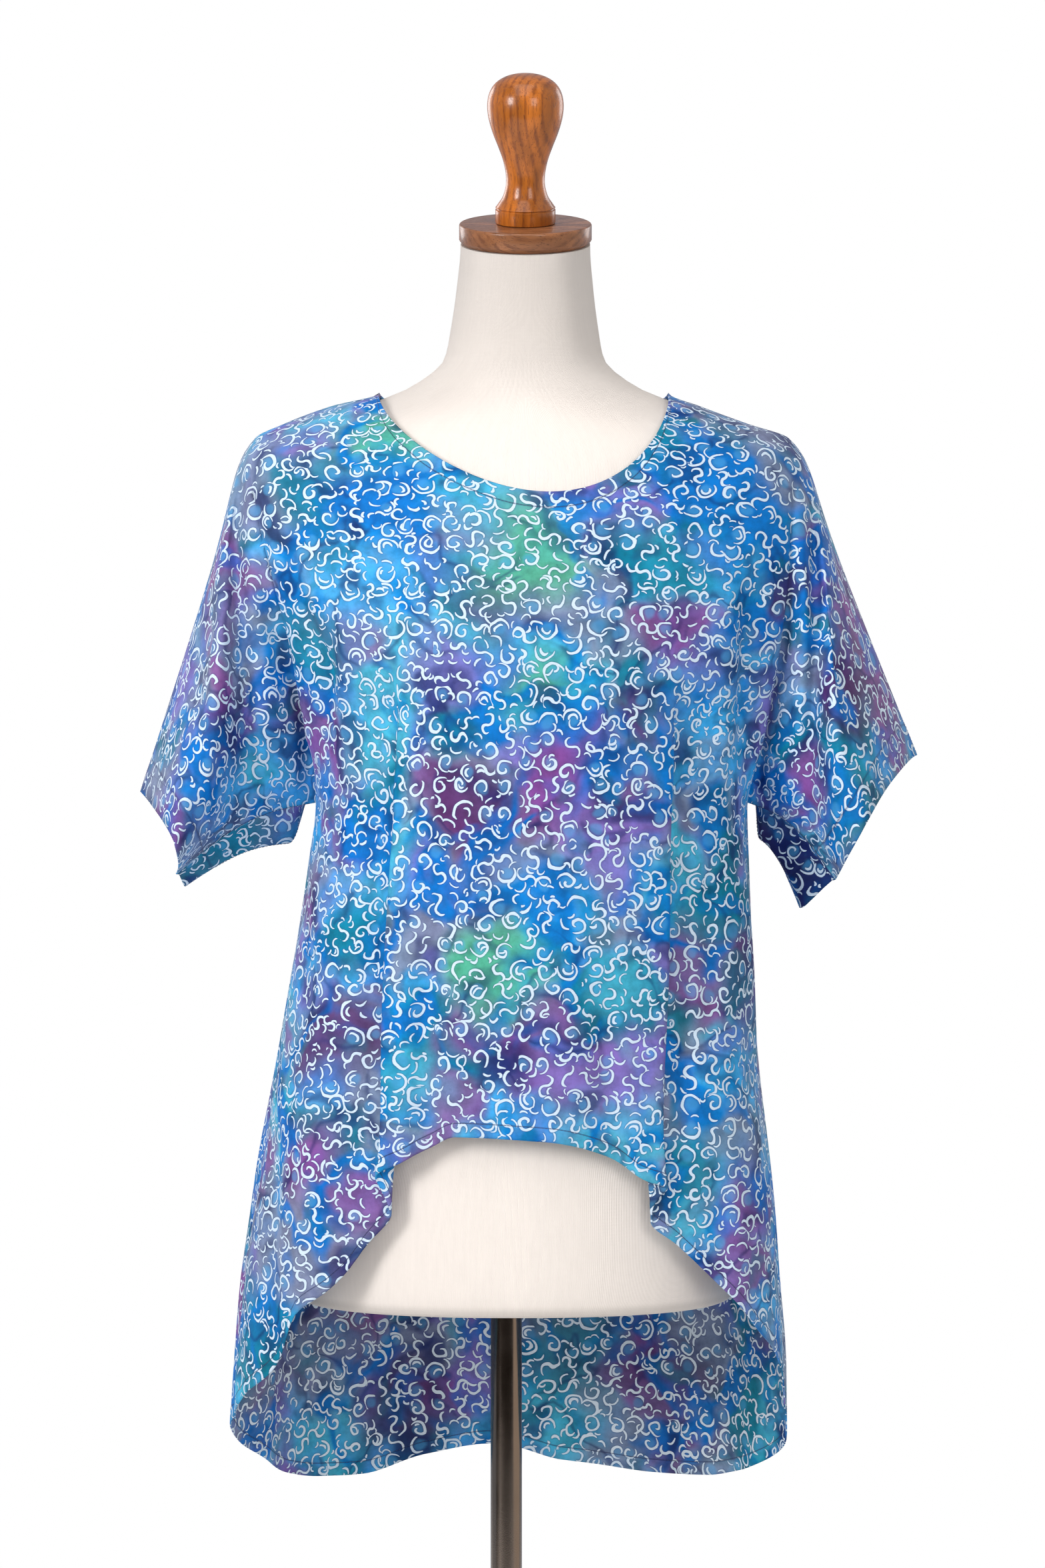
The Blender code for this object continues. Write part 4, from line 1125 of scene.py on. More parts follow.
def make_base():
    """The round base with its collar, which has a socket for the pole."""
    inside = POLE_RADIUS + TOUCH
    high = BASE_HEIGHT + COLLAR_HEIGHT
    outline = [(0.0, BASE_HEIGHT), (inside, BASE_HEIGHT)]
    outline += [(inside, high - 0.0003), (inside + 0.0003, high)]
    outline += rounded(COLLAR_RADIUS, high, 0.002, 5)
    outline += [(COLLAR_RADIUS, BASE_HEIGHT + 0.0012)]
    outline += [(COLLAR_RADIUS + 0.0004, BASE_HEIGHT + 0.0003)]
    outline += [(COLLAR_RADIUS + 0.0012, BASE_HEIGHT)]
    outline += rounded(BASE_RADIUS, BASE_HEIGHT, 0.002, 5)
    outline += [(BASE_RADIUS, 0.0006), (BASE_RADIUS - 0.0006, 0.0), (0.0, 0.0)]
    return lathe("steel_base", outline, 160)


# --- print on the cloth -------------------------------------------------------------------

def linear(red, green, blue):
    """A colour as the eye sees it, 0 to 255, as the shader's linear numbers."""
    values = []
    for c in (red / 255.0, green / 255.0, blue / 255.0):
        values.append(c / 12.92 if c <= 0.04045 else ((c + 0.055) / 1.055) ** 2.4)
    return (*values, 1.0)


class Dial:
    """A number that changes over a surface, worked out by a node tree's Math nodes."""

    def __init__(self, tree, socket):
        self.tree = tree
        self.socket = socket

    def step(self, operation, *others, clamp=False):
        node = self.tree.nodes.new("ShaderNodeMath")
        node.operation = operation
        node.use_clamp = clamp
        for place, value in zip(node.inputs, (self, *others)):
            feed(self.tree, value, place)
        return Dial(self.tree, node.outputs[0])

    def __add__(self, other):
        return self.step("ADD", other)

    def __sub__(self, other):
        return self.step("SUBTRACT", other)

    def __mul__(self, other):
        return self.step("MULTIPLY", other)

    def __truediv__(self, other):
        return self.step("DIVIDE", other)

    def __pow__(self, other):
        return self.step("POWER", other)

    def size(self):
        return self.step("ABSOLUTE")

    def sine(self):
        return self.step("SINE")

    def cosine(self):
        return self.step("COSINE")

    def root(self):
        return self.step("MAXIMUM", 0.0).step("SQRT")

    def most(self, other):
        return self.step("MAXIMUM", other)

    def least(self, other):
        return self.step("MINIMUM", other)

    def above(self, other):
        return self.step("GREATER_THAN", other)

    def flipped(self):
        """1 minus the number."""
        return self.step("MULTIPLY_ADD", -1.0, 1.0)

    def soft(self, low, high):
        """A soft step: 0 at low and 1 at high, whichever of them is larger."""
        node = self.tree.nodes.new("ShaderNodeMapRange")
        node.interpolation_type = "SMOOTHSTEP"
        feed(self.tree, self, node.inputs["Value"])
        feed(self.tree, low, node.inputs["From Min"])
        feed(self.tree, high, node.inputs["From Max"])
        return Dial(self.tree, node.outputs["Result"])

    def between(self, low, high):
        """low where the number is 0, high where it is 1."""
        node = self.tree.nodes.new("ShaderNodeMix")
        feed(self.tree, self, node.inputs[0])
        feed(self.tree, low, node.inputs[2])
        feed(self.tree, high, node.inputs[3])
        return Dial(self.tree, node.outputs[0])


def feed(tree, value, place):
    """Sets a node's input, or links it to what gives it."""
    if isinstance(value, Dial):
        tree.links.new(value.socket, place)
    elif isinstance(value, bpy.types.NodeSocket):
        tree.links.new(value, place)
    else:
        place.default_value = value


def effect(name, inputs, outputs):
    """A node group with those sockets, as (group, its input sockets, its output sockets)."""
    group = bpy.data.node_groups.new(name, "ShaderNodeTree")
    kinds = {"Vector": "NodeSocketVector", "Color": "NodeSocketColor"}
    for side, names in (("INPUT", inputs), ("OUTPUT", outputs)):
        for socket in names:
            kind = kinds.get(socket, "NodeSocketFloat")
            group.interface.new_socket(socket, in_out=side, socket_type=kind)
    enter = group.nodes.new("NodeGroupInput")
    leave = group.nodes.new("NodeGroupOutput")
    return group, enter.outputs, leave.inputs


def placed(tree, group, **inputs):
    """A group's outputs, in a tree where it is given those inputs."""
    node = tree.nodes.new("ShaderNodeGroup")
    node.node_tree = group
    for name, value in inputs.items():
        feed(tree, value, node.inputs[name])
    return node.outputs


def split(tree, vector):
    node = tree.nodes.new("ShaderNodeSeparateXYZ")
    feed(tree, vector, node.inputs[0])
    return [Dial(tree, socket) for socket in node.outputs]


def joined(tree, x, y, z=0.0):
    node = tree.nodes.new("ShaderNodeCombineXYZ")
    for value, place in zip((x, y, z), node.inputs):
        feed(tree, value, place)
    return node.outputs[0]


def vector_step(tree, operation, *values, scale=None):
    node = tree.nodes.new("ShaderNodeVectorMath")
    node.operation = operation
    for value, place in zip(values, node.inputs):
        feed(tree, value, place)
    if scale is not None:
        feed(tree, scale, node.inputs["Scale"])
    if operation in ("LENGTH", "DISTANCE", "DOT_PRODUCT"):
        return Dial(tree, node.outputs["Value"])
    return node.outputs["Vector"]


def cloudy(tree, vector, scale, detail=2.0, rough=0.5, flat=True):
    """A noise texture's three separate channels, and its colour."""
    node = tree.nodes.new("ShaderNodeTexNoise")
    node.noise_dimensions = "2D" if flat else "3D"
    feed(tree, vector, node.inputs["Vector"])
    feed(tree, scale, node.inputs["Scale"])
    node.inputs["Detail"].default_value = detail
    node.inputs["Roughness"].default_value = rough
    parts = tree.nodes.new("ShaderNodeSeparateColor")
    tree.links.new(node.outputs["Color"], parts.inputs[0])
    return [Dial(tree, socket) for socket in parts.outputs], node.outputs["Color"]


def stretched(tree, vector, scales, detail, rough=0.5, flat=True):
    """A noise with a scale of its own along each axis."""
    scaled = vector_step(tree, "MULTIPLY", vector, scales)
    return cloudy(tree, scaled, 1.0, detail, rough, flat)


def swayed(tree, vector, noise, reach):
    """A place moved across and up by a noise's colour, by half the reach at most."""
    shaken = vector_step(tree, "SUBTRACT", noise, (0.5, 0.5, 0.5))
    return vector_step(tree, "MULTIPLY_ADD", shaken, (reach, reach, 0.0), vector)


def cells(tree, vector, feature, loose):
    node = tree.nodes.new("ShaderNodeTexVoronoi")
    node.voronoi_dimensions = "2D"
    node.feature = feature
    feed(tree, vector, node.inputs["Vector"])
    node.inputs["Scale"].default_value = 1.0
    node.inputs["Randomness"].default_value = loose
    return node.outputs


def chance(tree, place, seed):
    """Three numbers from 0 to 1 that are the same all over a cell."""
    moved = vector_step(tree, "ADD", place, (seed, seed * 0.7, 0.0))
    node = tree.nodes.new("ShaderNodeTexWhiteNoise")
    node.noise_dimensions = "2D"
    feed(tree, moved, node.inputs["Vector"])
    parts = tree.nodes.new("ShaderNodeSeparateColor")
    tree.links.new(node.outputs["Color"], parts.inputs[0])
    return [Dial(tree, socket) for socket in parts.outputs]


def mixed(tree, share, low, high, blend="MIX"):
    """A colour between low and high."""
    node = tree.nodes.new("ShaderNodeMix")
    node.data_type = "RGBA"
    node.blend_type = blend
    feed(tree, share, node.inputs[0])
    feed(tree, low, node.inputs[6])
    feed(tree, high, node.inputs[7])
    return node.outputs[2]


def shaded(tree, colour, shade):
    """A colour times a number."""
    return mixed(tree, 1.0, colour, joined(tree, shade, shade, shade), "MULTIPLY")


def angle_of(x, y):
    """The angle of a place round the middle, from 0 to a full turn."""
    angle = y.step("ARCTAN2", x)
    return angle + angle.step("LESS_THAN", 0.0) * FULL_TURN


def turned_about(x, y, turn):
    """x and y after a turn, given in radians."""
    cos, sin = turn.cosine(), turn.sine()
    return x * cos - y * sin, x * sin + y * cos


# How far apart the curls and the commas stand, and how loosely.
CURL_SPACING = 0.0158
CURL_LOOSE = 0.62
COMMA_SPACING = 0.0090
COMMA_LOOSE = 0.80
# Half the width of a curl's stroke, and the share of it that a comma has.
STROKE_HALF = 0.00096
COMMA_STROKE = 0.85


def brush_width(t, wide):
    """A stroke's half width along it: full in its middle, slim and round at both ends."""
    middle = (t * 2.0 - 1.0).size().least(1.0)
    return (middle ** 2.4).flipped().root() * wide


def past_end(t):
    """What a stroke's depth loses beyond its end, where t is more than 1."""
    return (t - 1.0).most(0.0) * 4.0


def curl_strokes():
    """Wax curls, one in each loose cell: hooks, rolled-up curls and S-curves.

    Vector is in cells. Wide is a stroke's half width in cells. Depth is how far inside a stroke a
    place is, in cells, less than 0 outside. Pool is 1 in the middle of a round curl.
    """
    group, given, result = effect("curl_strokes", ["Vector", "Wide"], ["Depth", "Pool"])
    tree = group
    near = cells(tree, given["Vector"], "F1", CURL_LOOSE)
    room = Dial(tree, cells(tree, given["Vector"], "N_SPHERE_RADIUS", CURL_LOOSE)["Radius"])
    reach = room * 0.62 + 0.27
    x, y, _ = split(tree, vector_step(tree, "SUBTRACT", given["Vector"], near["Position"]))
    kind, turn, mirror = chance(tree, near["Position"], 3.1)
    length, tight, weight = chance(tree, near["Position"], 11.7)
    mirror = mirror.above(0.5) * 2.0 - 1.0
    x, y = turned_about(x / reach, y * mirror / reach, turn * FULL_TURN)
    wide = Dial(tree, given["Wide"]) / reach * weight.between(0.82, 1.12)

    # Hooks and rolled-up curls: the radius shrinks as the stroke goes round.
    radius = (x * x + y * y).root()
    angle = angle_of(x, y)
    rolled = kind.above(0.30)
    whole = rolled.between(length.between(3.0, 4.7), length.between(5.4, 7.4))
    shrink = rolled.between(tight.between(0.00, 0.04), tight.between(0.085, 0.105))
    start = 0.80
    round_depth = None
    for lap in (0.0, FULL_TURN):
        gone = angle + lap
        t = gone / whole
        away = (radius - (gone * shrink).step("MULTIPLY_ADD", -1.0, start)).size()
        depth = brush_width(t.least(1.0), wide) - away - past_end(t)
        round_depth = depth if round_depth is None else round_depth.most(depth)
    # Half of the hooks hold a second, smaller arc.
    t = angle / (whole * weight.between(0.7, 1.1))
    small = brush_width(t.least(1.0), wide) - (radius - 0.36).size() - past_end(t)
    round_depth = round_depth.most(small - (rolled + weight.above(0.5)) * 9.0)

    # S-curves: two arcs that meet in the cell's middle, the same when turned half round.
    bow = length.between(0.36, 0.47)
    below = y.step("LESS_THAN", 0.0) * (x + bow).above(0.0)
    other = below.most((x - bow).above(0.0)) * -2.0 + 1.0
    p, q = x * other + bow, y * other
    t = angle_of(p, q) / tight.between(2.7, 4.3)
    away = ((p * p + q * q).root() - bow).size()
    wave_depth = brush_width((t * 0.5 + 0.5).least(1.0), wide) - away - past_end(t)

    wave = kind.above(0.60)
    feed(tree, wave.between(round_depth, wave_depth) * reach, result["Depth"])
    pool = radius.soft(0.74, 0.30) * wave.flipped() * tight.above(0.25)
    feed(tree, pool, result["Pool"])
    return group


def comma_strokes(curls):
    """Small commas in the gaps that the curls leave. Vector is in metres, Depth in metres."""
    group, given, result = effect("comma_strokes", ["Vector", "Wide"], ["Depth"])
    tree = group
    small = vector_step(tree, "SCALE", given["Vector"], scale=1.0 / COMMA_SPACING)
    near = cells(tree, small, "F1", COMMA_LOOSE)
    room = Dial(tree, cells(tree, small, "N_SPHERE_RADIUS", COMMA_LOOSE)["Radius"]) * COMMA_SPACING
    middle = vector_step(tree, "SCALE", near["Position"], scale=COMMA_SPACING / CURL_SPACING)
    curl = placed(tree, curls, Vector=middle, Wide=0.0)
    free = Dial(tree, curl["Depth"]) * -CURL_SPACING - 0.0008
    reach = (room.least(free) * 1.30).most(0.0003)
    offset = vector_step(tree, "SUBTRACT", small, near["Position"])
    x, y, _ = split(tree, vector_step(tree, "SCALE", offset, scale=COMMA_SPACING))
    turn, length, weight = chance(tree, near["Position"], 23.3)
    x, y = turned_about(x / reach, y / reach, turn * FULL_TURN)
    # An arc bulging to one side of the cell's middle.
    x = x - 0.75
    radius = (x * x + y * y).root()
    swing = y.step("ARCTAN2", x * -1.0)
    t = swing / length.between(0.8, 1.6) * 0.5 + 0.5
    wide = Dial(tree, given["Wide"]) / reach * weight.between(0.65, 1.0)
    past = (t.size() - t) * 2.0 + past_end(t)
    depth = brush_width(t.most(0.0).least(1.0), wide) - (radius - 0.9).size() - past
    hide = reach.soft(0.0019, 0.0016)
    feed(tree, depth * reach - hide * 0.01, result["Depth"])
    return group


def wax_print():
    """The print's white lines: Wax is 1 on them, Rim on their dark edge, Pool inside curls."""
    group, given, result = effect("wax_print", ["Vector"], ["Wax", "Rim", "Pool"])
    tree = group
    _, wobble = cloudy(tree, given["Vector"], 75.0, 1.0)
    vector = swayed(tree, given["Vector"], wobble, 0.0040)
    _, fine = cloudy(tree, vector, 420.0, 2.0)
    vector = swayed(tree, vector, fine, 0.0004)
    strokes = curl_strokes()
    in_cells = vector_step(tree, "SCALE", vector, scale=1.0 / CURL_SPACING)
    curls = placed(tree, strokes, Vector=in_cells, Wide=STROKE_HALF / CURL_SPACING)
    comma_wide = STROKE_HALF * COMMA_STROKE
    commas = placed(tree, comma_strokes(strokes), Vector=vector, Wide=comma_wide)
    depth = Dial(tree, curls["Depth"]) * CURL_SPACING
    depth = depth.most(Dial(tree, commas["Depth"]))
    wax = depth.soft(-0.00022, 0.00022)
    feed(tree, wax, result["Wax"])
    feed(tree, depth.soft(-0.0011, -0.0002) * wax.flipped(), result["Rim"])
    feed(tree, Dial(tree, curls["Pool"]), result["Pool"])
    return group


# Dyes by name, as the eye sees them.
DYES = {
    "sky": linear(80, 166, 222),
    "periwinkle": linear(84, 128, 196),
    "lilac": linear(128, 112, 184),
    "cobalt": linear(4, 112, 194),
    "aqua": linear(84, 178, 204),
    "teal": linear(24, 118, 142),
    "green": linear(84, 172, 140),
    "grey": linear(124, 134, 160),
    "mauve": linear(130, 72, 140),
    "plum": linear(84, 44, 98),
    "navy": linear(28, 40, 98),
}


# Dyes brushed over one another, from the first: which noise and which channel of it, where the
# dye starts and where it is whole, how strong it is, and the dye. POOLS are small and go on last.
Brush = namedtuple("Brush", "noise channel start whole share dye")
BRUSHES = [
    Brush(0, 1, 0.49, 0.63, 0.9, "lilac"),
    Brush(0, 2, 0.50, 0.64, 0.9, "aqua"),
    Brush(1, 0, 0.49, 0.63, 0.9, "grey"),
    Brush(1, 1, 0.54, 0.68, 0.9, "teal"),
    Brush(1, 2, 0.52, 0.66, 0.8, "mauve"),
    Brush(2, 0, 0.56, 0.70, 0.9, "cobalt"),
]
POOLS = [
    Brush(3, 0, 0.56, 0.72, 0.75, "navy"),
    Brush(3, 1, 0.58, 0.74, 0.60, "cobalt"),
    Brush(3, 2, 0.58, 0.74, 0.50, "teal"),
]


def brushed(tree, colour, noises, brushes):
    """A colour with those dyes brushed over it."""
    for brush in brushes:
        dial = noises[brush.noise][brush.channel].soft(brush.start, brush.whole)
        colour = mixed(tree, dial * brush.share, colour, DYES[brush.dye])
    return colour


def dyed_ground(patches):
    """Brushed-on dyes that run into each other. Vector is in metres."""
    group, given, result = effect("dyed_ground", ["Vector"], ["Color"])
    tree = group
    _, swirl = cloudy(tree, given["Vector"], 14.0, 2.0, 0.5)
    vector = swayed(tree, given["Vector"], swirl, 0.060)
    broad, _ = cloudy(tree, vector, 8.0, 2.5, 0.5)
    other, _ = cloudy(tree, vector_step(tree, "ADD", vector, (5.0, 2.0, 0.0)), 10.0, 2.5, 0.5)
    third, _ = cloudy(tree, vector_step(tree, "ADD", vector, (9.0, 7.0, 0.0)), 15.0, 2.5, 0.5)
    pool, _ = cloudy(tree, vector, 22.0, 2.5, 0.5)
    noises = (broad, other, third, pool)
    colour = mixed(tree, broad[0].soft(0.40, 0.60), DYES["sky"], DYES["periwinkle"])
    colour = brushed(tree, colour, noises, BRUSHES)
    for share, radius, u, v, dye in patches:
        away = vector_step(tree, "DISTANCE", vector, (u, v, 0.0))
        colour = mixed(tree, away.soft(radius, radius * 0.30) * share, colour, DYES[dye])
    colour = brushed(tree, colour, noises, POOLS)
    vein = (third[1] - 0.5).size().soft(0.040, 0.0) * third[2].soft(0.42, 0.56)
    colour = mixed(tree, vein * 0.55, colour, DYES["navy"])
    run_off, _ = cloudy(tree, vector_step(tree, "ADD", vector, (2.0, 11.0, 0.0)), 9.0, 2.0, 0.5)
    streak = (run_off[0] - 0.5).size().soft(0.060, 0.0) * run_off[1].soft(0.48, 0.58)
    colour = mixed(tree, streak * 0.80, colour, DYES["cobalt"])
    mottle, _ = cloudy(tree, given["Vector"], 60.0, 6.0, 0.65)
    colour = shaded(tree, colour, mottle[0].soft(0.25, 0.75).between(0.76, 1.24))
    richer = tree.nodes.new("ShaderNodeHueSaturation")
    richer.inputs["Saturation"].default_value = 1.06
    feed(tree, colour, richer.inputs["Color"])
    feed(tree, richer.outputs[0], result["Color"])
    return group


# --- materials ----------------------------------------------------------------------------

def new_material(name, rough, metal=0.0, specular=0.5):
    """A material with its shader and its node tree."""
    material = bpy.data.materials.new(name)
    material.use_nodes = True
    tree = material.node_tree
    shader = tree.nodes["Principled BSDF"]
    shader.inputs["Roughness"].default_value = rough
    shader.inputs["Metallic"].default_value = metal
    shader.inputs["Specular IOR Level"].default_value = specular
    return material, tree, shader


def coordinates(tree, name):
    """The UV map of that name, in metres, or the object's own coordinates."""
    if name == "object":
        return tree.nodes.new("ShaderNodeTexCoord").outputs["Object"]
    node = tree.nodes.new("ShaderNodeUVMap")
    node.uv_map = name
    return node.outputs[0]


def point_number(tree, name):
    node = tree.nodes.new("ShaderNodeAttribute")
    node.attribute_name = name
    return Dial(tree, node.outputs["Fac"])


def raised(tree, shader, height, distance):
    """Bumps a shader's surface by a height."""
    node = tree.nodes.new("ShaderNodeBump")
    node.inputs["Strength"].default_value = 1.0
    node.inputs["Distance"].default_value = distance
    feed(tree, height, node.inputs["Height"])
    tree.links.new(node.outputs[0], shader.inputs["Normal"])


def twill_weave():
    """Fine slanting ribs of a woven cloth. Vector is in metres, Pitch is the ribs' distance."""
    group, given, result = effect("twill_weave", ["Vector", "Pitch"], ["Height"])
    tree = group
    pitch = Dial(tree, given["Pitch"])
    u, v, _ = split(tree, given["Vector"])
    slant = ((u * 1.0 + v * 0.8) / pitch * FULL_TURN).sine()
    thread = (v / pitch * (FULL_TURN * 1.3)).sine()
    uneven, _ = cloudy(tree, given["Vector"], 900.0, 2.0)
    feed(tree, slant * 0.5 + thread * 0.2 + uneven[0] * 0.6, result["Height"])
    return group


def rib_knit():
    """Fine upright ribs of a knitted cover. Vector is (turns round, height), Ribs are all round."""
    group, given, result = effect("rib_knit", ["Vector", "Ribs"], ["Height", "Shade"])
    tree = group
    u, v, _ = split(tree, given["Vector"])
    uneven, _ = stretched(tree, given["Vector"], (300.0, 40.0, 0.0), 3.0)
    rib = (u * Dial(tree, given["Ribs"]) * FULL_TURN).sine() * 0.5 + 0.5
    loops = (v * (FULL_TURN / 0.0009)).sine() * 0.5 + 0.5
    feed(tree, rib * 0.7 + loops * 0.12 + uneven[1] * 0.4, result["Height"])
    broad, _ = stretched(tree, given["Vector"], (5.0, 5.0, 0.0), 3.0)
    # The rib term lightens the rib tops and darkens between them, a painted shade of the ribs; the
    # noise terms vary the tone at random.
    shade = (rib * 0.035).step("ADD", uneven[0] * 0.07) + broad[0] * 0.05
    feed(tree, shade + 0.90, result["Shade"])
    return group


def wood_grain():
    """Wood grain: dark streaks, a slow figure, short pores. Vector is in metres, the grain on Z."""
    group, given, result = effect("wood_grain", ["Vector"], ["Streak", "Figure", "Pore"])
    tree = group
    _, sway = stretched(tree, given["Vector"], (9.0, 9.0, 14.0), 2.0, flat=False)
    vector = swayed(tree, given["Vector"], sway, 0.014)
    x, y, _ = split(tree, vector)
    x = x + 0.045
    rings = ((x * x + y * y * 0.6).root() / 0.0052 * FULL_TURN).sine() * 0.5 + 0.5
    fine, _ = stretched(tree, vector, (260.0, 260.0, 9.0), 3.0, 0.6, flat=False)
    feed(tree, rings ** 2.0 * 0.55 + fine[0].soft(0.42, 0.62) * 0.45, result["Streak"])
    slow, _ = stretched(tree, vector, (70.0, 70.0, 16.0), 2.0, flat=False)
    feed(tree, slow[0].soft(0.36, 0.64), result["Figure"])
    pores, _ = stretched(tree, given["Vector"], (1500.0, 1500.0, 160.0), 1.0, flat=False)
    feed(tree, pores[0].soft(0.60, 0.68), result["Pore"])
    return group


def metal_wear():
    """Slight unevenness of a finished metal. Vector is in metres."""
    group, given, result = effect("metal_wear", ["Vector"], ["Shade", "Haze", "Height"])
    tree = group
    haze, _ = stretched(tree, given["Vector"], (40.0, 40.0, 12.0), 4.0, 0.6, flat=False)
    grit, _ = cloudy(tree, given["Vector"], 1400.0, 2.0, flat=False)
    feed(tree, haze[0].between(0.75, 1.20), result["Shade"])
    feed(tree, haze[1].soft(0.3, 0.7), result["Haze"])
    feed(tree, grit[0], result["Height"])
    return group


def batik_cloth(name, wax, ground, weave, inside):
    """The printed cloth: its right side, or its duller inside with the right side on the hem;
    inside the sleeves the inside and its hem are darkened further, a painted shade.
    """
    material, tree, shader = new_material(name, 0.72, specular=0.15)
    vector = coordinates(tree, "flat")
    lines = placed(tree, wax, Vector=vector)
    dyed = placed(tree, ground, Vector=vector)
    drawn = {key: Dial(tree, lines[key]) for key in ("Wax", "Rim", "Pool")}
    colour = mixed(tree, drawn["Pool"] * 0.45, dyed["Color"], DYES["sky"])
    colour = mixed(tree, drawn["Rim"] * 0.34, colour, DYES["navy"])
    colour = mixed(tree, drawn["Wax"], colour, WAX_WHITE)
    band = point_number(tree, "band")
    sewn = (band - 1.0).size().soft(0.075, 0.0)
    if inside:
        # Across a sleeve the inside is greyer, its wax darker and its hem shows less of the right
        # side: painted shade.
        arm = point_number(tree, "arm")
        dull_and_shaded = mixed(tree, arm.between(0.12, 0.66), colour, INSIDE_DULL_AND_SHADE)
        dull_and_shaded = mixed(tree, drawn["Wax"], dull_and_shaded, mixed(tree, arm, WAX_INSIDE, WAX_SHADED_IN_SLEEVE))
        hem = band.soft(1.02, 0.98) * arm.between(0.85, 0.25)
        colour = mixed(tree, hem, dull_and_shaded, colour)
    colour = mixed(tree, sewn * 0.45, colour, DYES["navy"])
    feed(tree, colour, shader.inputs["Base Color"])
    threads = Dial(tree, placed(tree, weave, Vector=vector, Pitch=TWILL_PITCH)["Height"])
    puckers, _ = cloudy(tree, vector, 260.0, 2.0)
    near = (band - 0.9).size().soft(0.5, 0.0)
    height = threads * 0.05 - sewn * 0.6 + puckers[0] * near * 0.8
    raised(tree, shader, height, 0.0006)
    feed(tree, threads * 0.05 + 0.66, shader.inputs["Roughness"])
    shader.inputs["Sheen Weight"].default_value = 0.02
    shader.inputs["Sheen Roughness"].default_value = 0.45
    return material


def thread_material():
    material, tree, shader = new_material("stitch_thread", 0.6)
    uneven, _ = cloudy(tree, coordinates(tree, "object"), 700.0, 1.0, flat=False)
    colour = mixed(tree, uneven[0], linear(44, 52, 92), linear(86, 92, 130))
    feed(tree, colour, shader.inputs["Base Color"])
    return material


def cover_material(knit):
    """The form's cream ribbed cover, a little greyer along its lower edge as painted shade under
    its rounded edge.
    """
    material, tree, shader = new_material("ribbed_cover", 0.85, specular=0.2)
    vector = coordinates(tree, "cover")
    rib = placed(tree, knit, Vector=vector, Ribs=COVER_RIBS)
    _, height, _ = split(tree, vector)
    # Painted shade: the cover turns greyer along its rounded lower edge.
    low = height.soft(FORM_BOTTOM + 0.010, FORM_BOTTOM + 0.003)
    colour = mixed(tree, low * 0.6, linear(244, 234, 226), linear(204, 195, 187))
    feed(tree, shaded(tree, colour, Dial(tree, rib["Shade"])), shader.inputs["Base Color"])
    raised(tree, shader, rib["Height"], 0.00018)
    shader.inputs["Sheen Weight"].default_value = 0.15
    return material


def wood_material(name, grain, light, dark, lay, rough):
    """Varnished wood. lay turns the grain's direction, as a mapping's rotation."""
    material, tree, shader = new_material(name, rough, specular=0.35)
    turn = tree.nodes.new("ShaderNodeMapping")
    turn.inputs["Rotation"].default_value = lay
    tree.links.new(coordinates(tree, "object"), turn.inputs["Vector"])
    wood = placed(tree, grain, Vector=turn.outputs[0])
    streak, figure, pore = (Dial(tree, wood[key]) for key in ("Streak", "Figure", "Pore"))
    colour = mixed(tree, figure, light, tuple(0.62 * c for c in light[:3]) + (1.0,))
    colour = mixed(tree, streak.soft(0.20, 1.00) * 0.62, colour, dark)
    colour = mixed(tree, pore * 0.5, colour, tuple(0.4 * c for c in dark[:3]) + (1.0,))
    feed(tree, colour, shader.inputs["Base Color"])
    feed(tree, pore * 0.12 + rough, shader.inputs["Roughness"])
    shader.inputs["Coat Weight"].default_value = 0.3
    shader.inputs["Coat Roughness"].default_value = 0.12
    raised(tree, shader, pore * -1.0 + streak * 0.2, 0.00006)
    return material


def steel_material(name, wear, colour, rough):
    material, tree, shader = new_material(name, rough, 1.0)
    worn = placed(tree, wear, Vector=coordinates(tree, "object"))
    feed(tree, shaded(tree, colour, Dial(tree, worn["Shade"])), shader.inputs["Base Color"])
    feed(tree, Dial(tree, worn["Haze"]) * 0.10 + rough, shader.inputs["Roughness"])
    raised(tree, shader, worn["Height"], 0.00003)
    return material


WAX_WHITE = linear(206, 223, 239)
WAX_INSIDE = linear(216, 228, 238)
# The wax inside a sleeve is darkened as painted shade. The inside's grey is partly the duller back
# of the dye and, in the sleeves, mostly painted shade.
WAX_SHADED_IN_SLEEVE = linear(126, 138, 156)
INSIDE_DULL_AND_SHADE = linear(52, 58, 82)
# The distance between the cloth's slanting ribs, and how many ribs the form's cover has all round.
TWILL_PITCH = 0.00052
COVER_RIBS = 1420.0
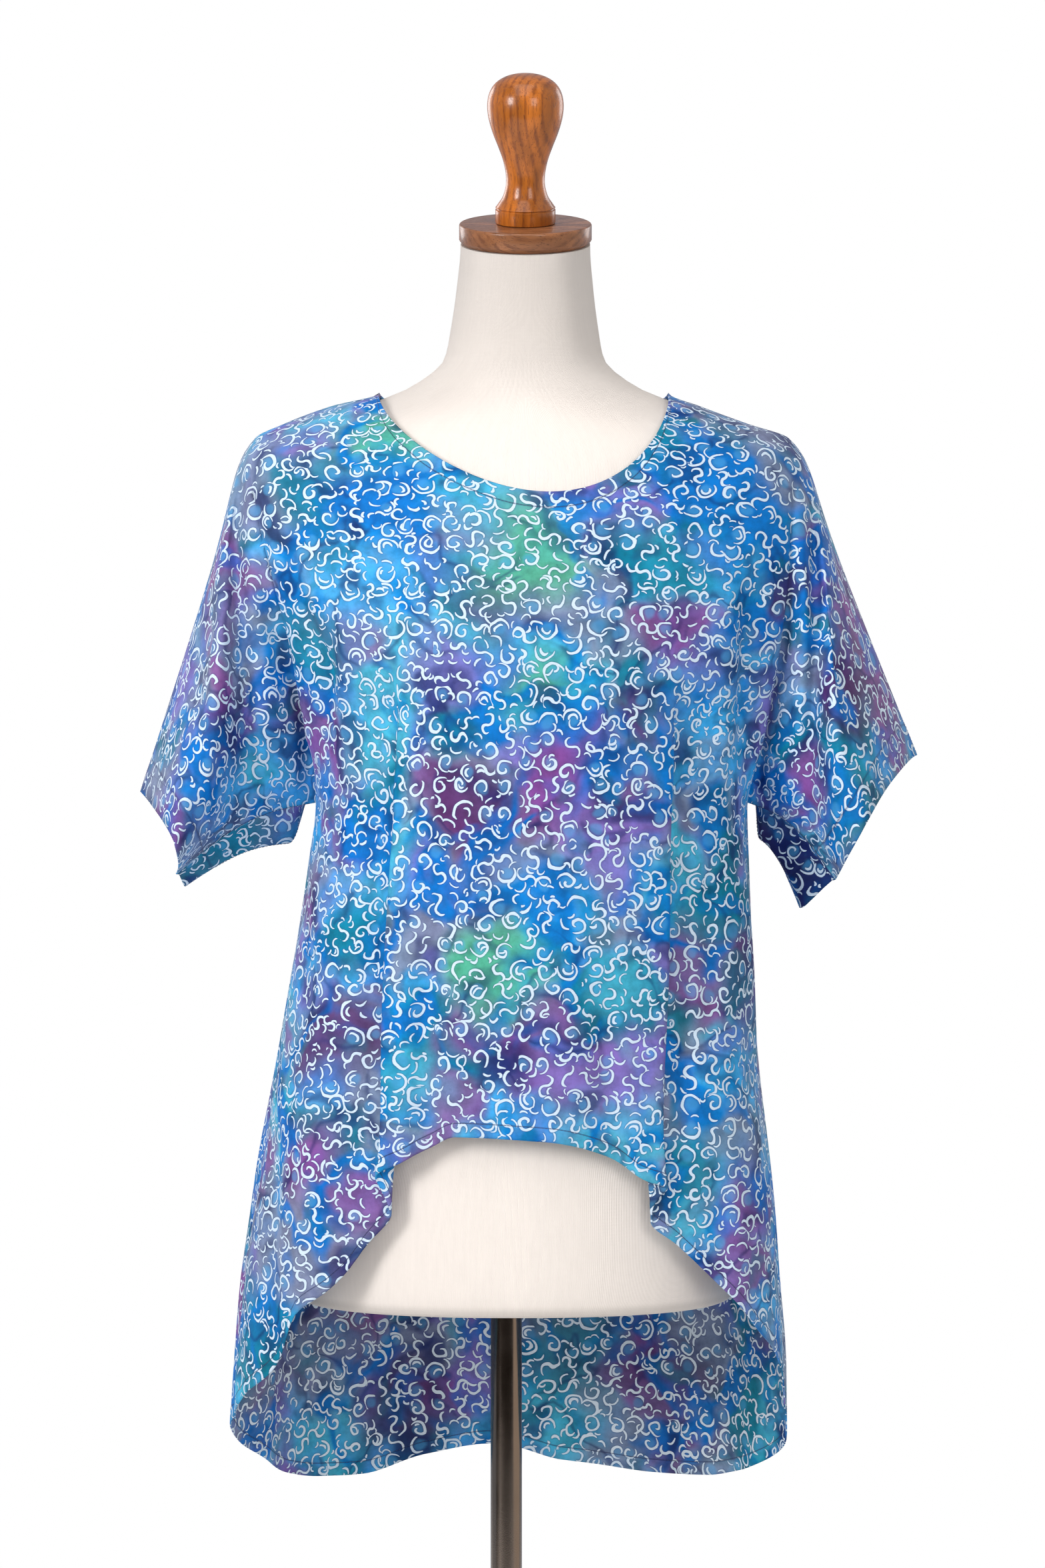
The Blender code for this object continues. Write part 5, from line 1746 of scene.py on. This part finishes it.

# Larger places of one dye that the brush left: share, radius, across and up the flat cloth, and
# the dye. Those with u near 3 are on the back, which lies BACK_ASIDE to the right. They were set
# after the photo's layout of colours. The rest of the ground runs by chance.
Patch = namedtuple("Patch", "share radius u v dye")
PATCHES = [
    Patch(0.85, 0.050, -0.089, 1.350, "green"),
    Patch(0.80, 0.048, -0.175, 1.322, "grey"),
    Patch(0.70, 0.044, -0.225, 1.262, "mauve"),
    Patch(0.80, 0.048, -0.290, 1.180, "navy"),
    Patch(0.75, 0.050, -0.170, 1.190, "teal"),
    Patch(0.85, 0.062, -0.100, 1.280, "cobalt"),
    Patch(0.90, 0.056, -0.120, 1.232, "sky"),
    Patch(0.80, 0.052, -0.025, 1.290, "aqua"),
    Patch(0.75, 0.036, -0.018, 1.217, "plum"),
    Patch(0.75, 0.044, -0.060, 1.165, "lilac"),
    Patch(0.85, 0.050, 0.006, 1.245, "green"),
    Patch(0.75, 0.042, 0.066, 1.290, "lilac"),
    Patch(0.92, 0.050, 0.122, 1.322, "cobalt"),
    Patch(0.80, 0.036, 0.158, 1.286, "cobalt"),
    Patch(0.75, 0.046, 0.200, 1.245, "navy"),
    Patch(0.92, 0.050, 0.292, 1.222, "plum"),
    Patch(0.80, 0.050, 0.350, 1.170, "teal"),
    Patch(0.55, 0.034, 0.120, 1.180, "mauve"),
    Patch(0.75, 0.040, 0.105, 1.235, "teal"),
    Patch(0.75, 0.036, 0.092, 1.132, "plum"),
    Patch(0.80, 0.040, 0.012, 1.150, "green"),
    Patch(0.80, 0.036, 0.026, 1.120, "cobalt"),
    Patch(0.90, 0.050, -0.030, 1.062, "plum"),
    Patch(0.90, 0.044, 0.028, 1.088, "mauve"),
    Patch(0.80, 0.050, 0.066, 1.045, "lilac"),
    Patch(0.92, 0.050, -0.136, 1.055, "cobalt"),
    Patch(0.90, 0.040, -0.158, 0.976, "teal"),
    Patch(0.90, 0.052, -0.018, 0.953, "green"),
    Patch(0.80, 0.040, 0.070, 0.945, "aqua"),
    Patch(0.80, 0.050, 0.190, 1.000, "teal"),
    Patch(0.75, 0.044, 0.215, 0.950, "plum"),
    Patch(0.85, 0.046, -0.164, 0.905, "plum"),
    Patch(0.80, 0.040, -0.084, 0.876, "aqua"),
    Patch(0.75, 0.034, 0.000, 0.883, "navy"),
    Patch(0.80, 0.046, 0.050, 0.868, "lilac"),
    Patch(0.80, 0.044, 0.156, 0.812, "teal"),
    Patch(0.88, 0.056, -0.195, 0.812, "mauve"),
    Patch(0.80, 0.046, -0.185, 0.765, "grey"),
    Patch(0.75, 0.050, -0.255, 0.680, "teal"),
    Patch(0.80, 0.044, 0.218, 0.790, "mauve"),
    Patch(0.80, 0.060, 3.160, 0.632, "grey"),
    Patch(0.80, 0.050, 3.075, 0.590, "plum"),
    Patch(0.80, 0.060, 2.960, 0.630, "teal"),
    Patch(0.75, 0.050, 2.885, 0.626, "plum"),
    # This navy patch, where the back sheet shows under a sleeve, is partly dye and partly painted
    # shade.
    Patch(0.95, 0.110, 2.640, 1.070, "navy"),
    Patch(0.85, 0.090, 3.370, 1.080, "teal"),
]


def dress_blouse():
    """The two cloth panels with their stitches."""
    wax = wax_print()
    ground = dyed_ground(PATCHES)
    weave = twill_weave()
    outside = batik_cloth("batik_right_side", wax, ground, weave, False)
    inside = batik_cloth("batik_inside", wax, ground, weave, True)
    thread = thread_material()
    for panel in ("front", "back"):
        sheet, lines, flat = make_sheet(panel)
        sheet.data.materials.append(outside)
        sheet.data.materials.append(inside)
        paths = [stitch_line(grid, measure) for grid, measure in lines]
        stitches = add_stitches(panel + "_stitches", paths, sheet)
        stitches.data.materials.append(thread)
        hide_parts(panel + "_panel")
        for piece in (sheet, stitches):
            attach(piece, "root")


def dress_form():
    """The form, its turned wood and its stand."""
    cover = make_form_cover()
    cover.data.materials.append(cover_material(rib_knit()))
    grain = wood_grain()
    wear = metal_wear()
    pose = neck_pose()
    light, dark = linear(196, 110, 36), linear(104, 46, 14)
    upright = (0.0, 0.05, 0.3)
    knob = make_knob(pose)
    knob.data.materials.append(wood_material("knob_wood", grain, light, dark, upright, 0.30))
    light, dark = linear(168, 108, 68), linear(98, 52, 28)
    lying = (0.0, 1.35, 0.5)
    disc = make_disc(pose)
    disc.data.materials.append(wood_material("disc_wood", grain, light, dark, lying, 0.36))
    pole = make_pole()
    pole.data.materials.append(steel_material("polished_steel", wear, linear(126, 114, 105), 0.12))
    base = make_base()
    base.data.materials.append(steel_material("satin_steel", wear, linear(110, 108, 108), 0.30))
    stands_for = (
        (cover, "form_torso", "form_cover"),
        (knob, "neck_knob", "turned_wood"),
        (disc, "neck_disc", "turned_wood"),
        (pole, "pole", "pole_steel"),
        (base, "stand_base", "base_steel"),
    )
    for piece, node, slot in stands_for:
        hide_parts(node)
        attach(piece, "root")


# --- stage, light and camera --------------------------------------------------------------

def make_floor():
    """A pale floor under the stand."""
    bpy.ops.mesh.primitive_grid_add(x_subdivisions=8, y_subdivisions=8, size=4.2)
    floor = bpy.context.object
    floor.name = "studio_floor"
    material, tree, shader = new_material("pale_floor", 0.9)
    cloud, _ = cloudy(tree, coordinates(tree, "object"), 2.0, 2.0)
    colour = mixed(tree, cloud[0], linear(244, 244, 244), linear(250, 250, 250))
    feed(tree, colour, shader.inputs["Base Color"])
    floor.data.materials.append(material)


def make_surround():
    """An even white surround, in which shiny surfaces mirror a room."""
    world = bpy.data.worlds.new("studio")
    world.use_nodes = True
    tree = world.node_tree
    lit = tree.nodes["Background"]
    lit.inputs["Color"].default_value = (1.0, 1.0, 1.0, 1.0)
    lit.inputs["Strength"].default_value = 0.34
    seen = tree.nodes.new("ShaderNodeBackground")
    seen.inputs["Color"].default_value = (1.0, 1.0, 1.0, 1.0)
    seen.inputs["Strength"].default_value = 1.0
    # What a shiny surface mirrors: a dark room in front, a bright warm wall to the right.
    x, y, _ = split(tree, tree.nodes.new("ShaderNodeTexCoord").outputs["Generated"])
    side = x.step("ARCTAN2", y * -1.0)
    dark = side.soft(-1.55, -1.25) * side.soft(1.05, 0.80)
    warm = side.soft(0.80, 1.05) * side.soft(2.15, 1.85)
    room = mixed(tree, dark, (0.36, 0.40, 0.46, 1.0), (0.025, 0.018, 0.014, 1.0))
    room = mixed(tree, warm, room, (1.0, 0.86, 0.72, 1.0))
    mirrored_room = tree.nodes.new("ShaderNodeBackground")
    tree.links.new(room, mirrored_room.inputs["Color"])
    path = tree.nodes.new("ShaderNodeLightPath")
    shown = lit.outputs[0]
    for ray, shader in (("Is Glossy Ray", mirrored_room), ("Is Camera Ray", seen)):
        mix = tree.nodes.new("ShaderNodeMixShader")
        tree.links.new(path.outputs[ray], mix.inputs[0])
        tree.links.new(shown, mix.inputs[1])
        tree.links.new(shader.outputs[0], mix.inputs[2])
        shown = mix.outputs[0]
    tree.links.new(shown, tree.nodes["World Output"].inputs["Surface"])
    bpy.context.scene.world = world


# Soft lights in front, above and behind, all aimed at the same height of the stand's axis.
Light = namedtuple("Light", "name x y z power width")
LIGHTS = [
    Light("softbox_left", -2.10, -2.1, 2.05, 58.0, 0.8),
    Light("softbox_right", 1.45, -3.0, 1.95, 26.0, 1.0),
    Light("softbox_above", -0.2, -1.2, 3.4, 26.0, 1.6),
    Light("softbox_behind_left", -2.0, 2.6, 2.1, 26.0, 1.2),
    Light("softbox_behind_right", 2.2, 2.2, 2.1, 22.0, 1.2),
]
LIT_HEIGHT = 1.12


def make_lights():
    for light in LIGHTS:
        lamp = bpy.data.lights.new(light.name, "AREA")
        lamp.shape = "RECTANGLE"
        lamp.size = light.width
        lamp.size_y = 1.5 * light.width
        lamp.energy = light.power
        holder = bpy.data.objects.new(light.name, lamp)
        holder.location = (light.x, light.y, light.z)
        aim = Vector((0.0, 0.0, LIT_HEIGHT)) - holder.location
        holder.rotation_euler = aim.to_track_quat("-Z", "Y").to_euler()
        bpy.context.scene.collection.objects.link(holder)


# The camera's place, the height it looks at on the stand's axis and its lens in millimetres.
CAMERA = (0.012, -3.6, 1.25)
AIM_HEIGHT = 1.077
LENS = 112.5


def make_camera():
    """The photograph's view: level with the blouse, slightly above its middle."""
    camera = bpy.data.cameras.new("camera")
    camera.sensor_fit = "AUTO"
    camera.sensor_width = 36.0
    camera.lens = LENS
    camera.clip_end = 50.0
    holder = bpy.data.objects.new("camera", camera)
    holder.location = CAMERA
    down = math.atan((CAMERA[2] - AIM_HEIGHT) / -CAMERA[1])
    holder.rotation_euler = (math.pi / 2.0 - down, 0.0, 0.0)
    bpy.context.scene.collection.objects.link(holder)
    bpy.context.scene.camera = holder
    bpy.context.scene.view_settings.view_transform = "Standard"


make_camera()
make_floor()
make_surround()
make_lights()
dress_blouse()
dress_form()
